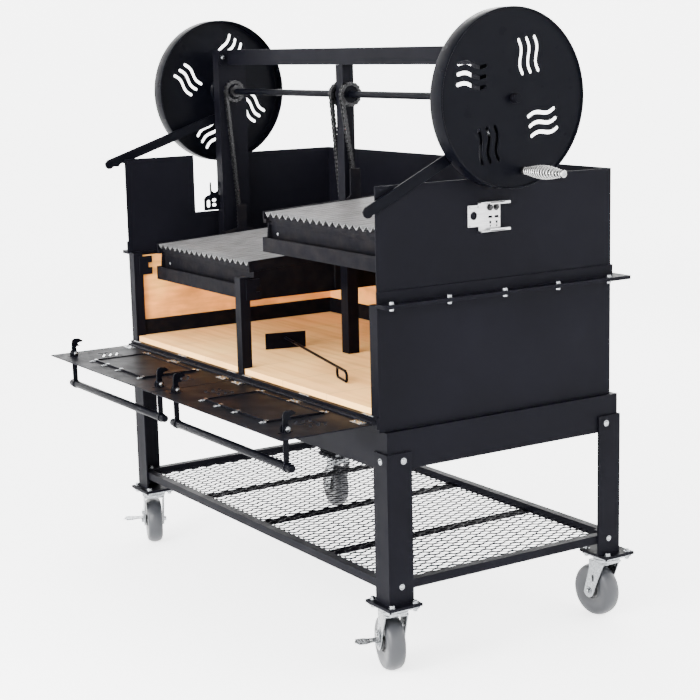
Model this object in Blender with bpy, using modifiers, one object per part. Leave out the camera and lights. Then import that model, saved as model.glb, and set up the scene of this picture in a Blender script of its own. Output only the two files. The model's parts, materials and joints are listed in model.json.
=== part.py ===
"""Wood fire grill cart: a lined firebox on a caster cart, with two crank-lifted V-bar grates."""

import math

import bmesh
import bpy
from mathutils import Matrix, Vector

# All sizes are in metres. +X is the cook's right, +Y the back and +Z up, with the floor at 0.
GAP = 0.0003  # clearance left between neighbouring pieces
Y_SHIFT = 0.136  # moves the cart back, so that the origin is below the middle of its bounding box

# Cart
CART_HALF_X = 0.752
LEG_FRONT_Y = -0.402
LEG_REAR_Y = 0.393
LEG_FLANGE_X = 0.064
LEG_FLANGE_Y = 0.078
LEG_WALL = 0.006
LEG_TOP_Z = 0.610
BASE_PLATE = (0.115, 0.105)
BASE_PLATE_Z = (0.195, 0.203)
BASE_PLATE_X = CART_HALF_X - 0.0335
BASE_PLATE_Y = (-0.3655, 0.3755)  # centres of the front and rear plates
CASTER_PLATE = (0.104, 0.094)
CASTER_PLATE_Z = 0.189
FRAME_HALF_X = CART_HALF_X - LEG_WALL - GAP
FRAME_Y = (LEG_FRONT_Y + LEG_WALL + GAP, LEG_REAR_Y - LEG_WALL - GAP)
APRON_Z = (0.563, 0.6667)
APRON_WALL = 0.004
APRON_FLANGE = 0.050
SHELF_Z = (0.238, 0.262)
SHELF_RAIL = 0.025
SHELF_BAR_X = (-0.368, 0.0, 0.368)
SHELF_BAR_HALF = 0.021
SHELF_BAR_Z = (0.2385, 0.2425)
MESH_SHEET = 0.003

# Firebox
BOX_HALF_X = 0.731
BOX_Y = (-0.409, 0.372)
BOX_Z = (0.667, 0.997)
BOX_WALL = 0.003
FRONT_POST = (0.036, 0.032)
MIDDLE_POST_HALF = 0.016
FRONT_LIP_Z = 0.707
FRONT_WALL = 0.0067
PAN_THICK = 0.004
SILL_DEPTH = 0.007
SILL_Z = (0.676, 0.7065)
FLANGE_HALF_X = 0.770
FLANGE_REAR_Y = 0.412
FLANGE_THICK = 0.005
FLOOR_TOP_Z = 0.724
BRICK = 0.020
BRICK_TOP_Z = 0.985
BAND = (0.006, 0.050)
GUARD_TOP_Z = 1.300
RIM_LEG_TOP_Z = 1.033
RIM_WALL = 0.004
NOTCH_Y = (-0.160, -0.030)
NOTCH_Z = 1.111
CATCH_Y = (-0.390, -0.345)
CATCH_Z = (0.925, 0.985)
CATCH_NOTCH = (0.013, 0.008)  # depth and half height

# Tower and lift
SHAFT_Y = -0.023
SHAFT_Z = 1.505
SHAFT_R = 0.010
POST_X = (0.6897, 0.7277)
POST_HALF_Y = 0.051
POST_Z = (0.990, 1.640)
POST_WALL = 0.003
CENTRE_POST_HALF = 0.019
BEAM_Z = (1.5913, 1.640)
CHAIN_R = 0.031
CHAIN_HALF = 0.005
CHAIN_HALF_X = 0.008
CHAIN_X = (0.029, 0.680)  # centre and outer chains
CHAIN_END_Z = {"left": 1.045, "right": 1.045}
CLIP_Y = (-0.034, -0.008)
WHEEL_R = 0.232
WHEEL_X = (0.757, 0.806)
WHEEL_WALL = 0.004
DISC_X = (0.796, 0.800)
HUB_R = 0.025
HUB_BACK_X = 0.776
SHAFT_END_X = 0.822
GRIP_ORBIT = 0.188
GRIP_R = (0.0095, 0.019)  # at its ends and its middle
GRIP_X = (0.8063, 0.970)
PIN_R = 0.005
DRUM_R = 0.052
DRUM_X = (0.7345, 0.7500)
LEVER_PIVOT = (-0.060, 1.418)
LEVER_X = (0.738, 0.746)
LEVER_HALF = 0.015
LEVER_SLOPE = {1: math.radians(25.5), -1: math.radians(18.4)}
LEVER_PIN_R = 0.006
LEVER_HEAD = (0.011, 0.0037)  # radius and thickness of the pin's head

# Spit fittings
MOTOR_CHANNEL = ((-0.088, 0.010), (1.160, 1.238))
CRADLE_X = (-0.715, -0.711)
CRADLE_Y = (-0.134, -0.0925)  # its front edge and its fork
CRADLE_Z = (1.115, 1.162, 1.208)  # its foot, shoulder and tips

# Grates and carriages
GRATE_TOP = {"left": 1.026, "right": 1.181}  # front top edge of the V bars
GRATE_X = (0.046, 0.656)
GRATE_Y = (-0.340, 0.300)
GRATE_SLOPE = math.radians(3.0)
V_BARS = 18
V_DEPTH = 0.013
V_WALL = 0.002
SIDE_PLATE = 0.006
TRAY_Z = (-0.030, 0.002)  # the tray's side rails, from the top of the bars
TRAY_FRONT = 0.003
LEDGE = 0.010
TRAY_PLATE_Y = (0.019, 0.023)  # behind the bars' front ends
TRAY_PLATE_Z = (-0.085, -V_DEPTH - 0.006)
TRAY_BAR = (0.014, -V_DEPTH - 0.024)  # front face and lower edge of the bar along the plate's top
DRIP_Y = (-0.345, -0.305)
DRIP_WALL = 0.003
CARRIAGE_DROP = 0.114
BEAM_HEIGHT = 0.042
HOOK_Z = (0.074, 0.100)  # the carriage's clips on the chains, from the top of the bars

# Doors
HINGE_Y = -0.4235
HINGE_Z = 0.6935
DOOR_X = (0.003, 0.728)
DOOR_FRONT_Y = -0.700
DOOR_Z = (0.689, 0.692)
LUG_HALF = 0.008
LUG_R = 0.0048
KNUCKLE_R = 0.0055
HINGE_PIN_R = 0.0028
COVER_CENTRE = (0.366, -0.545)
COVER_SIZE = (0.350, 0.175)
COVER_THICK = 0.004
WINDOW_HALF = (0.160, 0.072)
LATCH_X = (0.052, 0.662)
LATCH_PIVOT = (-0.648, 0.702)
LATCH_EAR_R = 0.009
HANDLE_BAR = (-0.6485, 0.602)
HANDLE_BAR_X = (0.022, 0.692)
HANDLE_BAR_R = 0.011

# Casters
WHEEL_RADIUS = 0.076
PEDAL_HINGE = (0.035, 0.036, 0.110)  # from the swivel, with the wheel trailing along +X
CASTER_TRAIL = 0.040
CASTERS = {  # side, row and the heading of the wheel from its swivel
    "front_right": (1, 0, math.radians(164.0)),
    "rear_right": (1, 1, math.radians(182.0)),
    "front_left": (-1, 0, math.radians(159.0)),
    "rear_left": (-1, 1, math.radians(170.0)),
}

COLOURS = {
    "black": ((0.018, 0.019, 0.023), 0.45, 0.2),
    "satin_black": ((0.012, 0.012, 0.014), 0.35, 0.2),
    "stainless": ((0.62, 0.62, 0.61), 0.32, 0.9),
    "zinc": ((0.66, 0.68, 0.69), 0.30, 0.9),
    "clay": ((0.62, 0.36, 0.20), 0.85, 0.0),
    "cream": ((0.80, 0.66, 0.46), 0.85, 0.0),
    "grey_wheel": ((0.30, 0.30, 0.31), 0.55, 0.0),
    "chain": ((0.09, 0.09, 0.09), 0.40, 0.8),
}


def clear_scene():
    for found in list(bpy.data.objects):
        bpy.data.objects.remove(found)


def collection(name, hidden=False):
    made = bpy.data.collections.new(name)
    bpy.context.scene.collection.children.link(made)
    made.hide_render = hidden
    return made


def material(name, look):
    colour, roughness, metallic = COLOURS[look]
    made = bpy.data.materials.new(name)
    made.use_nodes = True
    shader = made.node_tree.nodes["Principled BSDF"]
    shader.inputs["Base Color"].default_value = (*colour, 1.0)
    shader.inputs["Roughness"].default_value = roughness
    shader.inputs["Metallic"].default_value = metallic
    return made


# Helper shapes. Each returns a mesh in place, ready to be a piece, a piece's extra or a cutter.


def mesh_from(build):
    shape = bmesh.new()
    build(shape)
    bmesh.ops.recalc_face_normals(shape, faces=shape.faces)
    mesh = bpy.data.meshes.new("shape")
    shape.to_mesh(mesh)
    shape.free()
    return mesh


def block(x, y, z):
    """A box from its three (low, high) pairs."""
    centre = Vector([(a + b) / 2 for a, b in (x, y, z)])
    size = [abs(b - a) for a, b in (x, y, z)]
    place = Matrix.Translation(centre) @ Matrix.Diagonal((*size, 1.0))
    return mesh_from(lambda shape: bmesh.ops.create_cube(shape, size=1.0, matrix=place))


def mirrored(x, side):
    """An (inner, outer) pair on the right, taken to the given side."""
    return tuple(sorted((side * x[0], side * x[1])))


def rod(start, end, radius, segments=16):
    """A round bar between two points."""
    start = Vector(start)
    end = Vector(end)
    turn = (end - start).to_track_quat("Z", "Y").to_matrix().to_4x4()
    place = Matrix.Translation((start + end) / 2) @ turn
    length = (end - start).length

    def build(shape):
        ends = {"radius1": radius, "radius2": radius}
        bmesh.ops.create_cone(shape, cap_ends=True, segments=segments, depth=length, matrix=place, **ends)

    return mesh_from(build)


def join(*meshes):
    """Several closed meshes that don't touch, as one mesh."""
    shape = bmesh.new()
    for mesh in meshes:
        shape.from_mesh(mesh)
    made = bpy.data.meshes.new("joined")
    shape.to_mesh(made)
    shape.free()
    return made


PLANES = {  # columns are where the outline's across, up and thickness directions go
    "XY": Matrix(((1, 0, 0), (0, 1, 0), (0, 0, 1))).to_4x4(),
    "YZ": Matrix(((0, 0, 1), (1, 0, 0), (0, 1, 0))).to_4x4(),
    "XZ": Matrix(((1, 0, 0), (0, 0, -1), (0, 1, 0))).to_4x4(),
}


def plate(outline, span, plane="YZ", holes=()):
    """A flat plate: an outline with holes in a plane, thick over the (low, high) span of the third axis."""
    curve = bpy.data.curves.new("outline", "CURVE")
    curve.dimensions = "2D"
    curve.fill_mode = "BOTH"
    curve.extrude = (span[1] - span[0]) / 2
    for points in (outline, *holes):
        spline = curve.splines.new("POLY")
        spline.points.add(len(points) - 1)
        for point, (across, up) in zip(spline.points, points):
            point.co = (across, up, 0.0, 1.0)
        spline.use_cyclic_u = True
    drawn = bpy.data.objects.new("outline", curve)
    bpy.context.scene.collection.objects.link(drawn)
    bpy.context.view_layer.update()
    evaluated = drawn.evaluated_get(bpy.context.evaluated_depsgraph_get())
    mesh = bpy.data.meshes.new_from_object(evaluated)
    bpy.data.objects.remove(drawn)
    middle = (span[0] + span[1]) / 2 * (-1 if plane == "XZ" else 1)
    place = PLANES[plane] @ Matrix.Translation((0, 0, middle))

    def build(shape):
        shape.from_mesh(mesh)
        bmesh.ops.remove_doubles(shape, verts=shape.verts, dist=0.00001)
        bmesh.ops.transform(shape, matrix=place, verts=shape.verts)

    return mesh_from(build)


def lathe(profile, origin, axis, steps=24):
    """A closed (radius, distance) profile turned about an axis through the origin."""
    outline = bpy.data.meshes.new("profile")
    points = [(radius, 0.0, along) for radius, along in profile]
    edges = [(i, (i + 1) % len(points)) for i in range(len(points))]
    outline.from_pydata(points, edges, [])
    turned = bpy.data.objects.new("profile", outline)
    bpy.context.scene.collection.objects.link(turned)
    screw = turned.modifiers.new("Turn", "SCREW")
    screw.steps = steps
    screw.render_steps = steps
    screw.use_merge_vertices = True
    screw.merge_threshold = 0.00001
    bpy.context.view_layer.update()
    evaluated = turned.evaluated_get(bpy.context.evaluated_depsgraph_get())
    mesh = bpy.data.meshes.new_from_object(evaluated)
    bpy.data.objects.remove(turned)
    turn = Vector(axis).to_track_quat("Z", "Y").to_matrix().to_4x4()
    place = Matrix.Translation(origin) @ turn

    def build(shape):
        shape.from_mesh(mesh)
        bmesh.ops.transform(shape, matrix=place, verts=shape.verts)

    return mesh_from(build)


def tube_path(points, radius):
    """A round wire through points, with filled ends."""
    curve = bpy.data.curves.new("wire", "CURVE")
    curve.dimensions = "3D"
    curve.bevel_depth = radius
    curve.bevel_resolution = 2
    curve.use_fill_caps = True
    spline = curve.splines.new("POLY")
    spline.points.add(len(points) - 1)
    for point, co in zip(spline.points, points):
        point.co = (*co, 1.0)
    drawn = bpy.data.objects.new("wire", curve)
    bpy.context.scene.collection.objects.link(drawn)
    bpy.context.view_layer.update()
    evaluated = drawn.evaluated_get(bpy.context.evaluated_depsgraph_get())
    mesh = bpy.data.meshes.new_from_object(evaluated)
    bpy.data.objects.remove(drawn)

    def build(shape):
        shape.from_mesh(mesh)
        bmesh.ops.remove_doubles(shape, verts=shape.verts, dist=0.00001)

    return mesh_from(build)


def arc(centre, radius, start, end, steps=8):
    """Points on an arc, with its angles in degrees."""
    angles = [math.radians(start + (end - start) * i / steps) for i in range(steps + 1)]
    return [(centre[0] + radius * math.cos(a), centre[1] + radius * math.sin(a)) for a in angles]


def rectangle(across, up):
    return [(across[0], up[0]), (across[1], up[0]), (across[1], up[1]), (across[0], up[1])]


def wave_slot(centre, length, width, angle, steps=4):
    """An S-shaped slot of one width with round ends."""
    spine = [length * (i / steps - 0.5) for i in range(steps + 1)]
    sway = [0.16 * length * math.sin(2 * math.pi * s / length) for s in spine]
    left = [(s, w + width / 2) for s, w in zip(spine, sway)]
    right = [(s, w - width / 2) for s, w in zip(spine, sway)]
    far = arc((spine[-1], sway[-1]), width / 2, -45, 45, 1)
    near = arc((spine[0], sway[0]), width / 2, 135, 225, 1)
    outline = right + far + left[::-1] + near
    turn = Matrix.Rotation(angle, 2)
    turned = [turn @ Vector(point) for point in outline]
    return [(centre[0] + point.x, centre[1] + point.y) for point in turned]


def finish(name, look, base, add=(), cut=(), late=(), smooth=False, origin=(0.0, 0.0, 0.0)):
    """Turns a mesh into a piece: extras joined on, cutters taken off, then late extras joined on."""
    shift = Matrix.Translation((0, Y_SHIFT, 0))
    origin = shift @ Vector(origin)
    base = base.copy()
    base.name = name
    base.transform(Matrix.Translation(-origin) @ shift)
    piece = bpy.data.objects.new(name, base)
    piece.location = origin
    PARTS.objects.link(piece)
    base.materials.clear()
    base.materials.append(material(name + "_finish", look))
    for step, (operation, meshes) in enumerate((("UNION", add), ("DIFFERENCE", cut), ("UNION", late))):
        for number, mesh in enumerate(meshes):
            mesh.transform(shift)
            tool = bpy.data.objects.new(f"{name}_step_{step}_{number}", mesh)
            tool.display_type = "WIRE"
            tool.hide_render = True
            TOOLS.objects.link(tool)
            joined = piece.modifiers.new(tool.name, "BOOLEAN")
            joined.operation = operation
            joined.solver = "EXACT"
            joined.object = tool
    if smooth:
        base.shade_smooth()
        base.set_sharp_from_angle(angle=math.radians(40))
    return piece


# Cart


def row_edges(row):
    """The outer face of a leg and the direction into the cart, for the front (0) or rear (1) row."""
    return (LEG_FRONT_Y, 1) if row == 0 else (LEG_REAR_Y, -1)


def add_leg(name, side, row):
    outer_y, inward = row_edges(row)
    outer_x = side * CART_HALF_X
    across = [0, side * LEG_FLANGE_X, side * LEG_FLANGE_X, side * LEG_WALL, side * LEG_WALL, 0]
    along = [0, 0, LEG_WALL, LEG_WALL, LEG_FLANGE_Y, LEG_FLANGE_Y]
    outline = [(outer_x - a, outer_y + inward * b) for a, b in zip(across, along)]
    angle = plate(outline, (BASE_PLATE_Z[1] - 0.001, LEG_TOP_Z), "XY")
    x = side * BASE_PLATE_X
    y = BASE_PLATE_Y[row]
    half_x = BASE_PLATE[0] / 2
    half_y = BASE_PLATE[1] / 2
    foot = block((x - half_x, x + half_x), (y - half_y, y + half_y), BASE_PLATE_Z)
    top_x = CASTER_PLATE[0] / 2
    top_y = CASTER_PLATE[1] / 2
    top_z = (CASTER_PLATE_Z, BASE_PLATE_Z[0] + 0.001)
    caster_top = block((x - top_x, x + top_x), (y - top_y, y + top_y), top_z)
    finish(f"leg_{name}", "black", foot, add=[angle, caster_top])


def add_cart_frame():
    outer = block((-FRAME_HALF_X, FRAME_HALF_X), FRAME_Y, APRON_Z)
    wall_x = FRAME_HALF_X - APRON_WALL
    wall_y = (FRAME_Y[0] + APRON_WALL, FRAME_Y[1] - APRON_WALL)
    inside = block((-wall_x, wall_x), wall_y, (APRON_Z[0] + APRON_WALL, APRON_Z[1] - APRON_WALL))
    flange_x = FRAME_HALF_X - APRON_FLANGE
    flange_y = (FRAME_Y[0] + APRON_FLANGE, FRAME_Y[1] - APRON_FLANGE)
    through = block((-flange_x, flange_x), flange_y, (APRON_Z[0] - 0.02, APRON_Z[1] + 0.02))
    finish("apron_frame", "black", outer, cut=[inside, through])


def add_shelf():
    outer = block((-FRAME_HALF_X, FRAME_HALF_X), FRAME_Y, SHELF_Z)
    inner_x = FRAME_HALF_X - SHELF_RAIL
    inner_y = (FRAME_Y[0] + SHELF_RAIL, FRAME_Y[1] - SHELF_RAIL)
    inside = block((-inner_x, inner_x), inner_y, (0.2, 0.3))
    bar_y = (inner_y[0] - 0.002, inner_y[1] + 0.002)
    bars = [block((x - SHELF_BAR_HALF, x + SHELF_BAR_HALF), bar_y, SHELF_BAR_Z) for x in SHELF_BAR_X]
    finish("shelf_frame", "black", outer, cut=[inside], late=[join(*bars)])
    sheet_x = inner_x - GAP
    sheet_y = (inner_y[0] + GAP, inner_y[1] - GAP)
    sheet_z = (SHELF_BAR_Z[1] + GAP, SHELF_BAR_Z[1] + GAP + MESH_SHEET)
    finish("shelf_mesh", "black", block((-sheet_x, sheet_x), sheet_y, sheet_z))


# Firebox


def catch_plate(x):
    """A notched plate that a door's hook catches."""
    back, front = CATCH_Y
    low, high = CATCH_Z
    middle = (low + high) / 2
    depth, half = CATCH_NOTCH
    outline = [(back, low), (front, low), (front, middle - half), (front - depth, middle - half)]
    outline += [(front - depth, middle + half), (front, middle + half), (front, high), (back, high)]
    return plate(outline, (x - 0.002, x + 0.002))


def add_firebox_shell():
    inner_x = BOX_HALF_X - BOX_WALL
    outer = block((-BOX_HALF_X, BOX_HALF_X), BOX_Y, BOX_Z)
    pan_y = (BOX_Y[0] + FRONT_WALL, BOX_Y[1] - BOX_WALL)
    hollow = block((-inner_x, inner_x), pan_y, (BOX_Z[0] + PAN_THICK, 1.1))
    mouth = block((-inner_x, inner_x), (BOX_Y[0] - 0.02, BOX_Y[0] + 0.02), (FRONT_LIP_Z, 1.1))
    flange_z = (BOX_Z[1] - FLANGE_THICK, BOX_Z[1])
    ledge = block((-FLANGE_HALF_X, FLANGE_HALF_X), (BOX_Y[0] - 0.003, FLANGE_REAR_Y), flange_z)
    posts = []
    catches = []
    for side in (-1, 1):
        x = mirrored((BOX_HALF_X - FRONT_POST[0], BOX_HALF_X - 0.001), side)
        posts.append(block(x, (BOX_Y[0], BOX_Y[0] + FRONT_POST[1]), (BOX_Z[0] + 0.002, BOX_Z[1])))
        catches.append(catch_plate(side * (BOX_HALF_X - FRONT_POST[0] - 0.001)))
    late = [join(*posts), join(*catches)]
    finish("firebox_shell", "black", outer, add=[ledge], cut=[hollow, mouth], late=late)


def hinge_runs():
    """On the right door, the (low, high) x spans of its knuckles and the centres of the lugs between them."""
    low = DOOR_X[0] + 0.004
    pitch = (DOOR_X[1] - LUG_HALF - low) / 3
    lugs = [low + pitch * i for i in range(4)]
    reach = LUG_HALF + GAP
    return [(a + reach, b - reach) for a, b in zip(lugs, lugs[1:])], lugs


def add_front_sill():
    front = BOX_Y[0] - GAP
    rail = block((-BOX_HALF_X, BOX_HALF_X), (front - SILL_DEPTH, front), SILL_Z)
    knuckle_ends, lug_places = hinge_runs()
    spans = [(-lug_places[0] - LUG_HALF, lug_places[0] + LUG_HALF)]
    for side in (-1, 1):
        spans += [(side * x - LUG_HALF, side * x + LUG_HALF) for x in lug_places[1:]]
    web_y = (HINGE_Y, front - SILL_DEPTH + 0.001)
    web_z = (HINGE_Z - LUG_R + 0.0004, HINGE_Z + LUG_R - 0.0004)
    webs = [block(span, web_y, web_z) for span in spans]
    barrels = [rod((low, HINGE_Y, HINGE_Z), (high, HINGE_Y, HINGE_Z), LUG_R) for low, high in spans]
    end = knuckle_ends[-1][1] + 2 * LUG_HALF
    pin = rod((-end, HINGE_Y, HINGE_Z), (end, HINGE_Y, HINGE_Z), HINGE_PIN_R)
    finish("front_sill", "black", rail, add=[join(*webs), join(*barrels), pin])


def add_middle_post():
    y = (BOX_Y[0], BOX_Y[0] + 2 * MIDDLE_POST_HALF)
    half = MIDDLE_POST_HALF
    post = block((-half, half), y, (FRONT_LIP_Z + GAP, BOX_Z[1] - FLANGE_THICK))
    foot_cut = block((-0.05, 0.05), (BOX_Y[0] + FRONT_WALL + GAP - 0.001, 0), (0.7, FLOOR_TOP_Z + GAP))
    catches = [catch_plate(half + 0.001), catch_plate(-half - 0.001)]
    finish("front_post_middle", "black", post, add=catches, cut=[foot_cut])


def add_lining():
    inner_x = BOX_HALF_X - BOX_WALL - GAP
    rear_y = BOX_Y[1] - BOX_WALL - GAP
    front_y = BOX_Y[0] + FRONT_POST[1] + GAP
    floor_z = (BOX_Z[0] + PAN_THICK + GAP, FLOOR_TOP_Z)
    floor = block((-inner_x, inner_x), (BOX_Y[0] + FRONT_WALL + GAP, rear_y), floor_z)
    corner_x = BOX_HALF_X - FRONT_POST[0] - GAP
    corners = [block(mirrored((corner_x, 0.8), side), (-0.5, front_y), (0.6, 0.8)) for side in (-1, 1)]
    finish("brick_floor", "cream", floor, cut=[join(*corners)])
    wall_z = (FLOOR_TOP_Z + GAP, BRICK_TOP_Z)
    face_x = inner_x - BRICK
    for name, side in (("left", -1), ("right", 1)):
        finish(f"brick_{name}", "clay", block(mirrored((face_x, inner_x), side), (front_y, rear_y), wall_z))
    rear_x = face_x - GAP
    finish("brick_rear", "clay", block((-rear_x, rear_x), (rear_y - BRICK, rear_y), wall_z))
    band_y = rear_y - BRICK - GAP
    band_z = (wall_z[0], wall_z[0] + BAND[1])
    outer = block((-rear_x, rear_x), (front_y, band_y), band_z)
    space_x = rear_x - BAND[0]
    inside = block((-space_x, space_x), (front_y - 0.02, band_y - BAND[0]), (0.7, 0.8))
    finish("lining_band", "satin_black", outer, cut=[inside])


def add_guards():
    z = (BOX_Z[1] + GAP, GUARD_TOP_Z)
    x = (BOX_HALF_X - BOX_WALL, BOX_HALF_X)
    notch = block((-0.8, -0.7), NOTCH_Y, (NOTCH_Z, 1.4))
    finish("guard_left", "black", block(mirrored(x, -1), BOX_Y, z), cut=[notch])
    finish("guard_right", "black", block(x, BOX_Y, z))
    inner_x = x[0] - GAP
    finish("guard_rear", "black", block((-inner_x, inner_x), (BOX_Y[1] - BOX_WALL, BOX_Y[1]), z))
    foot = (BOX_Z[1] + GAP, BOX_Z[1] + GAP + FLANGE_THICK)
    rim_y = (BOX_Y[0] - 0.003, FLANGE_REAR_Y)
    outer = block((-FLANGE_HALF_X, FLANGE_HALF_X), rim_y, (foot[0], RIM_LEG_TOP_Z))
    inside_x = BOX_HALF_X + GAP
    inside = block((-inside_x, inside_x), (-0.6, BOX_Y[1] + GAP), (0.9, 1.1))
    step_x = inside_x + RIM_WALL
    step_y = BOX_Y[1] + GAP + RIM_WALL
    steps = [block(mirrored((step_x, 0.9), side), (-0.6, 0.6), (foot[1], 1.1)) for side in (-1, 1)]
    rear_step = block((-0.9, 0.9), (step_y, 0.6), (foot[1], 1.1))
    finish("rim_angle", "black", outer, cut=[inside, join(*steps), rear_step])


# Tower


def shaft_hole(x, radius):
    return rod((x[0], SHAFT_Y, SHAFT_Z), (x[1], SHAFT_Y, SHAFT_Z), radius)


def add_posts():
    y = (SHAFT_Y - POST_HALF_Y, SHAFT_Y + POST_HALF_Y)
    bore_y = (y[0] + POST_WALL, y[1] - POST_WALL)
    bore_x = (POST_X[0] + POST_WALL, POST_X[1] - POST_WALL)
    head_radius, head_thick = LEVER_HEAD
    head_x = (LEVER_X[1] + GAP, LEVER_X[1] + GAP + head_thick)
    for name, side in (("left", -1), ("right", 1)):
        post = block(mirrored(POST_X, side), y, POST_Z)
        bore = block(mirrored(bore_x, side), bore_y, (0.9, 1.7))
        hole = shaft_hole(mirrored((0.6, 0.8), side), SHAFT_R + GAP)
        root = (side * (POST_X[1] - 0.001), *LEVER_PIVOT)
        pin = rod(root, (side * (head_x[0] + 0.0003), *LEVER_PIVOT), LEVER_PIN_R - GAP)
        head = rod((side * head_x[0], *LEVER_PIVOT), (side * head_x[1], *LEVER_PIVOT), head_radius)
        finish(f"post_{name}", "black", cut_mesh(post, [bore, hole]), add=[pin, head])
    half = CENTRE_POST_HALF
    middle_y = (SHAFT_Y - half, SHAFT_Y + half)
    post = block((-half, half), middle_y, (FLOOR_TOP_Z + GAP, BEAM_Z[0] - GAP))
    wall = half - POST_WALL
    bore = block((-wall, wall), (SHAFT_Y - wall, SHAFT_Y + wall), (0.7, 1.7))
    finish("post_centre", "black", post, cut=[bore, shaft_hole((-0.05, 0.05), SHAFT_R + GAP)])


def cut_mesh(base, cutters):
    """The base mesh with cutters taken off before anything is joined to it."""
    body = bpy.data.objects.new("cut", base)
    bpy.context.scene.collection.objects.link(body)
    tools = []
    for mesh in cutters:
        tool = bpy.data.objects.new("cutter", mesh)
        bpy.context.scene.collection.objects.link(tool)
        tools.append(tool)
        taken = body.modifiers.new("Cut", "BOOLEAN")
        taken.operation = "DIFFERENCE"
        taken.solver = "EXACT"
        taken.object = tool
    bpy.context.view_layer.update()
    evaluated = body.evaluated_get(bpy.context.evaluated_depsgraph_get())
    mesh = bpy.data.meshes.new_from_object(evaluated)
    for made in (body, *tools):
        bpy.data.objects.remove(made)
    return mesh


def add_beam():
    half = CENTRE_POST_HALF
    end = POST_X[0] - GAP
    bar = block((-end + 0.003, end - 0.003), (SHAFT_Y - half, SHAFT_Y + half), BEAM_Z)
    corner = 0.012
    y = (SHAFT_Y - POST_HALF_Y + 0.001, SHAFT_Y + POST_HALF_Y - 0.001)
    outline = arc((y[1] - corner, BEAM_Z[1] - corner), corner, 0, 90, 5)
    outline += arc((y[0] + corner, BEAM_Z[1] - corner), corner, 90, 180, 5)
    outline += arc((y[0] + corner, BEAM_Z[0] + corner), corner, 180, 270, 5)
    outline += arc((y[1] - corner, BEAM_Z[0] + corner), corner, 270, 360, 5)
    ends = [plate(outline, mirrored((end - 0.006, end), side)) for side in (-1, 1)]
    wall = half - POST_WALL
    bore_z = (BEAM_Z[0] + POST_WALL, BEAM_Z[1] - POST_WALL)
    bore = block((-0.75, 0.75), (SHAFT_Y - wall, SHAFT_Y + wall), bore_z)
    finish("top_beam", "black", bar, add=[join(*ends)], cut=[bore])


def add_chain(name, side, place):
    """A chain round its sprocket, led down to the carriage's clip and on to the clip's lowest place."""
    x = side * CHAIN_X[place]
    span = (x - CHAIN_HALF_X, x + CHAIN_HALF_X)
    shaft = Vector((SHAFT_Y, SHAFT_Z))
    ring = arc(shaft, CHAIN_R + CHAIN_HALF, 0, 345, 23)
    inside = arc(shaft, CHAIN_R - CHAIN_HALF, 0, 345, 23)
    clip = Vector((sum(CLIP_Y) / 2, GRATE_TOP[name] + HOOK_Z[1]))
    down = clip - shaft
    lean = math.acos(CHAIN_R / down.length)
    leaves = shaft + Matrix.Rotation(-lean, 2) @ down.normalized() * CHAIN_R
    across = Vector((0, CHAIN_HALF))
    sideways = Matrix.Rotation(math.pi / 2, 2) @ (clip - leaves).normalized() * CHAIN_HALF
    end = Vector((clip.x, CHAIN_END_Z[name]))
    outline = [leaves + sideways, leaves - sideways, clip - across.yx, end - across.yx]
    outline += [end + across.yx, clip + across.yx]
    kind = "outer" if place else "inner"
    loop = plate(ring, span, holes=[inside])
    finish(f"chain_{name}_{kind}", "chain", loop, add=[plate(outline, span)])


def slot_trios(side):
    """Three S slots at four places on a hand wheel, as (y, z) outlines."""
    if side > 0:
        groups = [(0.052, 0.108, 98), (0.099, -0.065, 12), (-0.130, 0.062, -4), (-0.079, -0.116, 98)]
    else:
        groups = [(-0.109, 0.040, -48), (0.050, 0.133, 55), (0.130, -0.058, -48), (-0.030, -0.140, 38)]
    slots = []
    for y, z, degrees in groups:
        angle = math.radians(degrees)
        for step in (-1, 0, 1):
            centre = (
                SHAFT_Y + y - step * 0.026 * math.sin(angle),
                SHAFT_Z + z + step * 0.026 * math.cos(angle),
            )
            slots.append(wave_slot(centre, 0.086, 0.012, angle))
    return slots


def ring(radii, span, side):
    """The (radius, distance) corners of a ring on the given side."""
    inner, outer = radii
    start, end = span
    return [(outer, side * start), (outer, side * end), (inner, side * end), (inner, side * start)]


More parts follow.
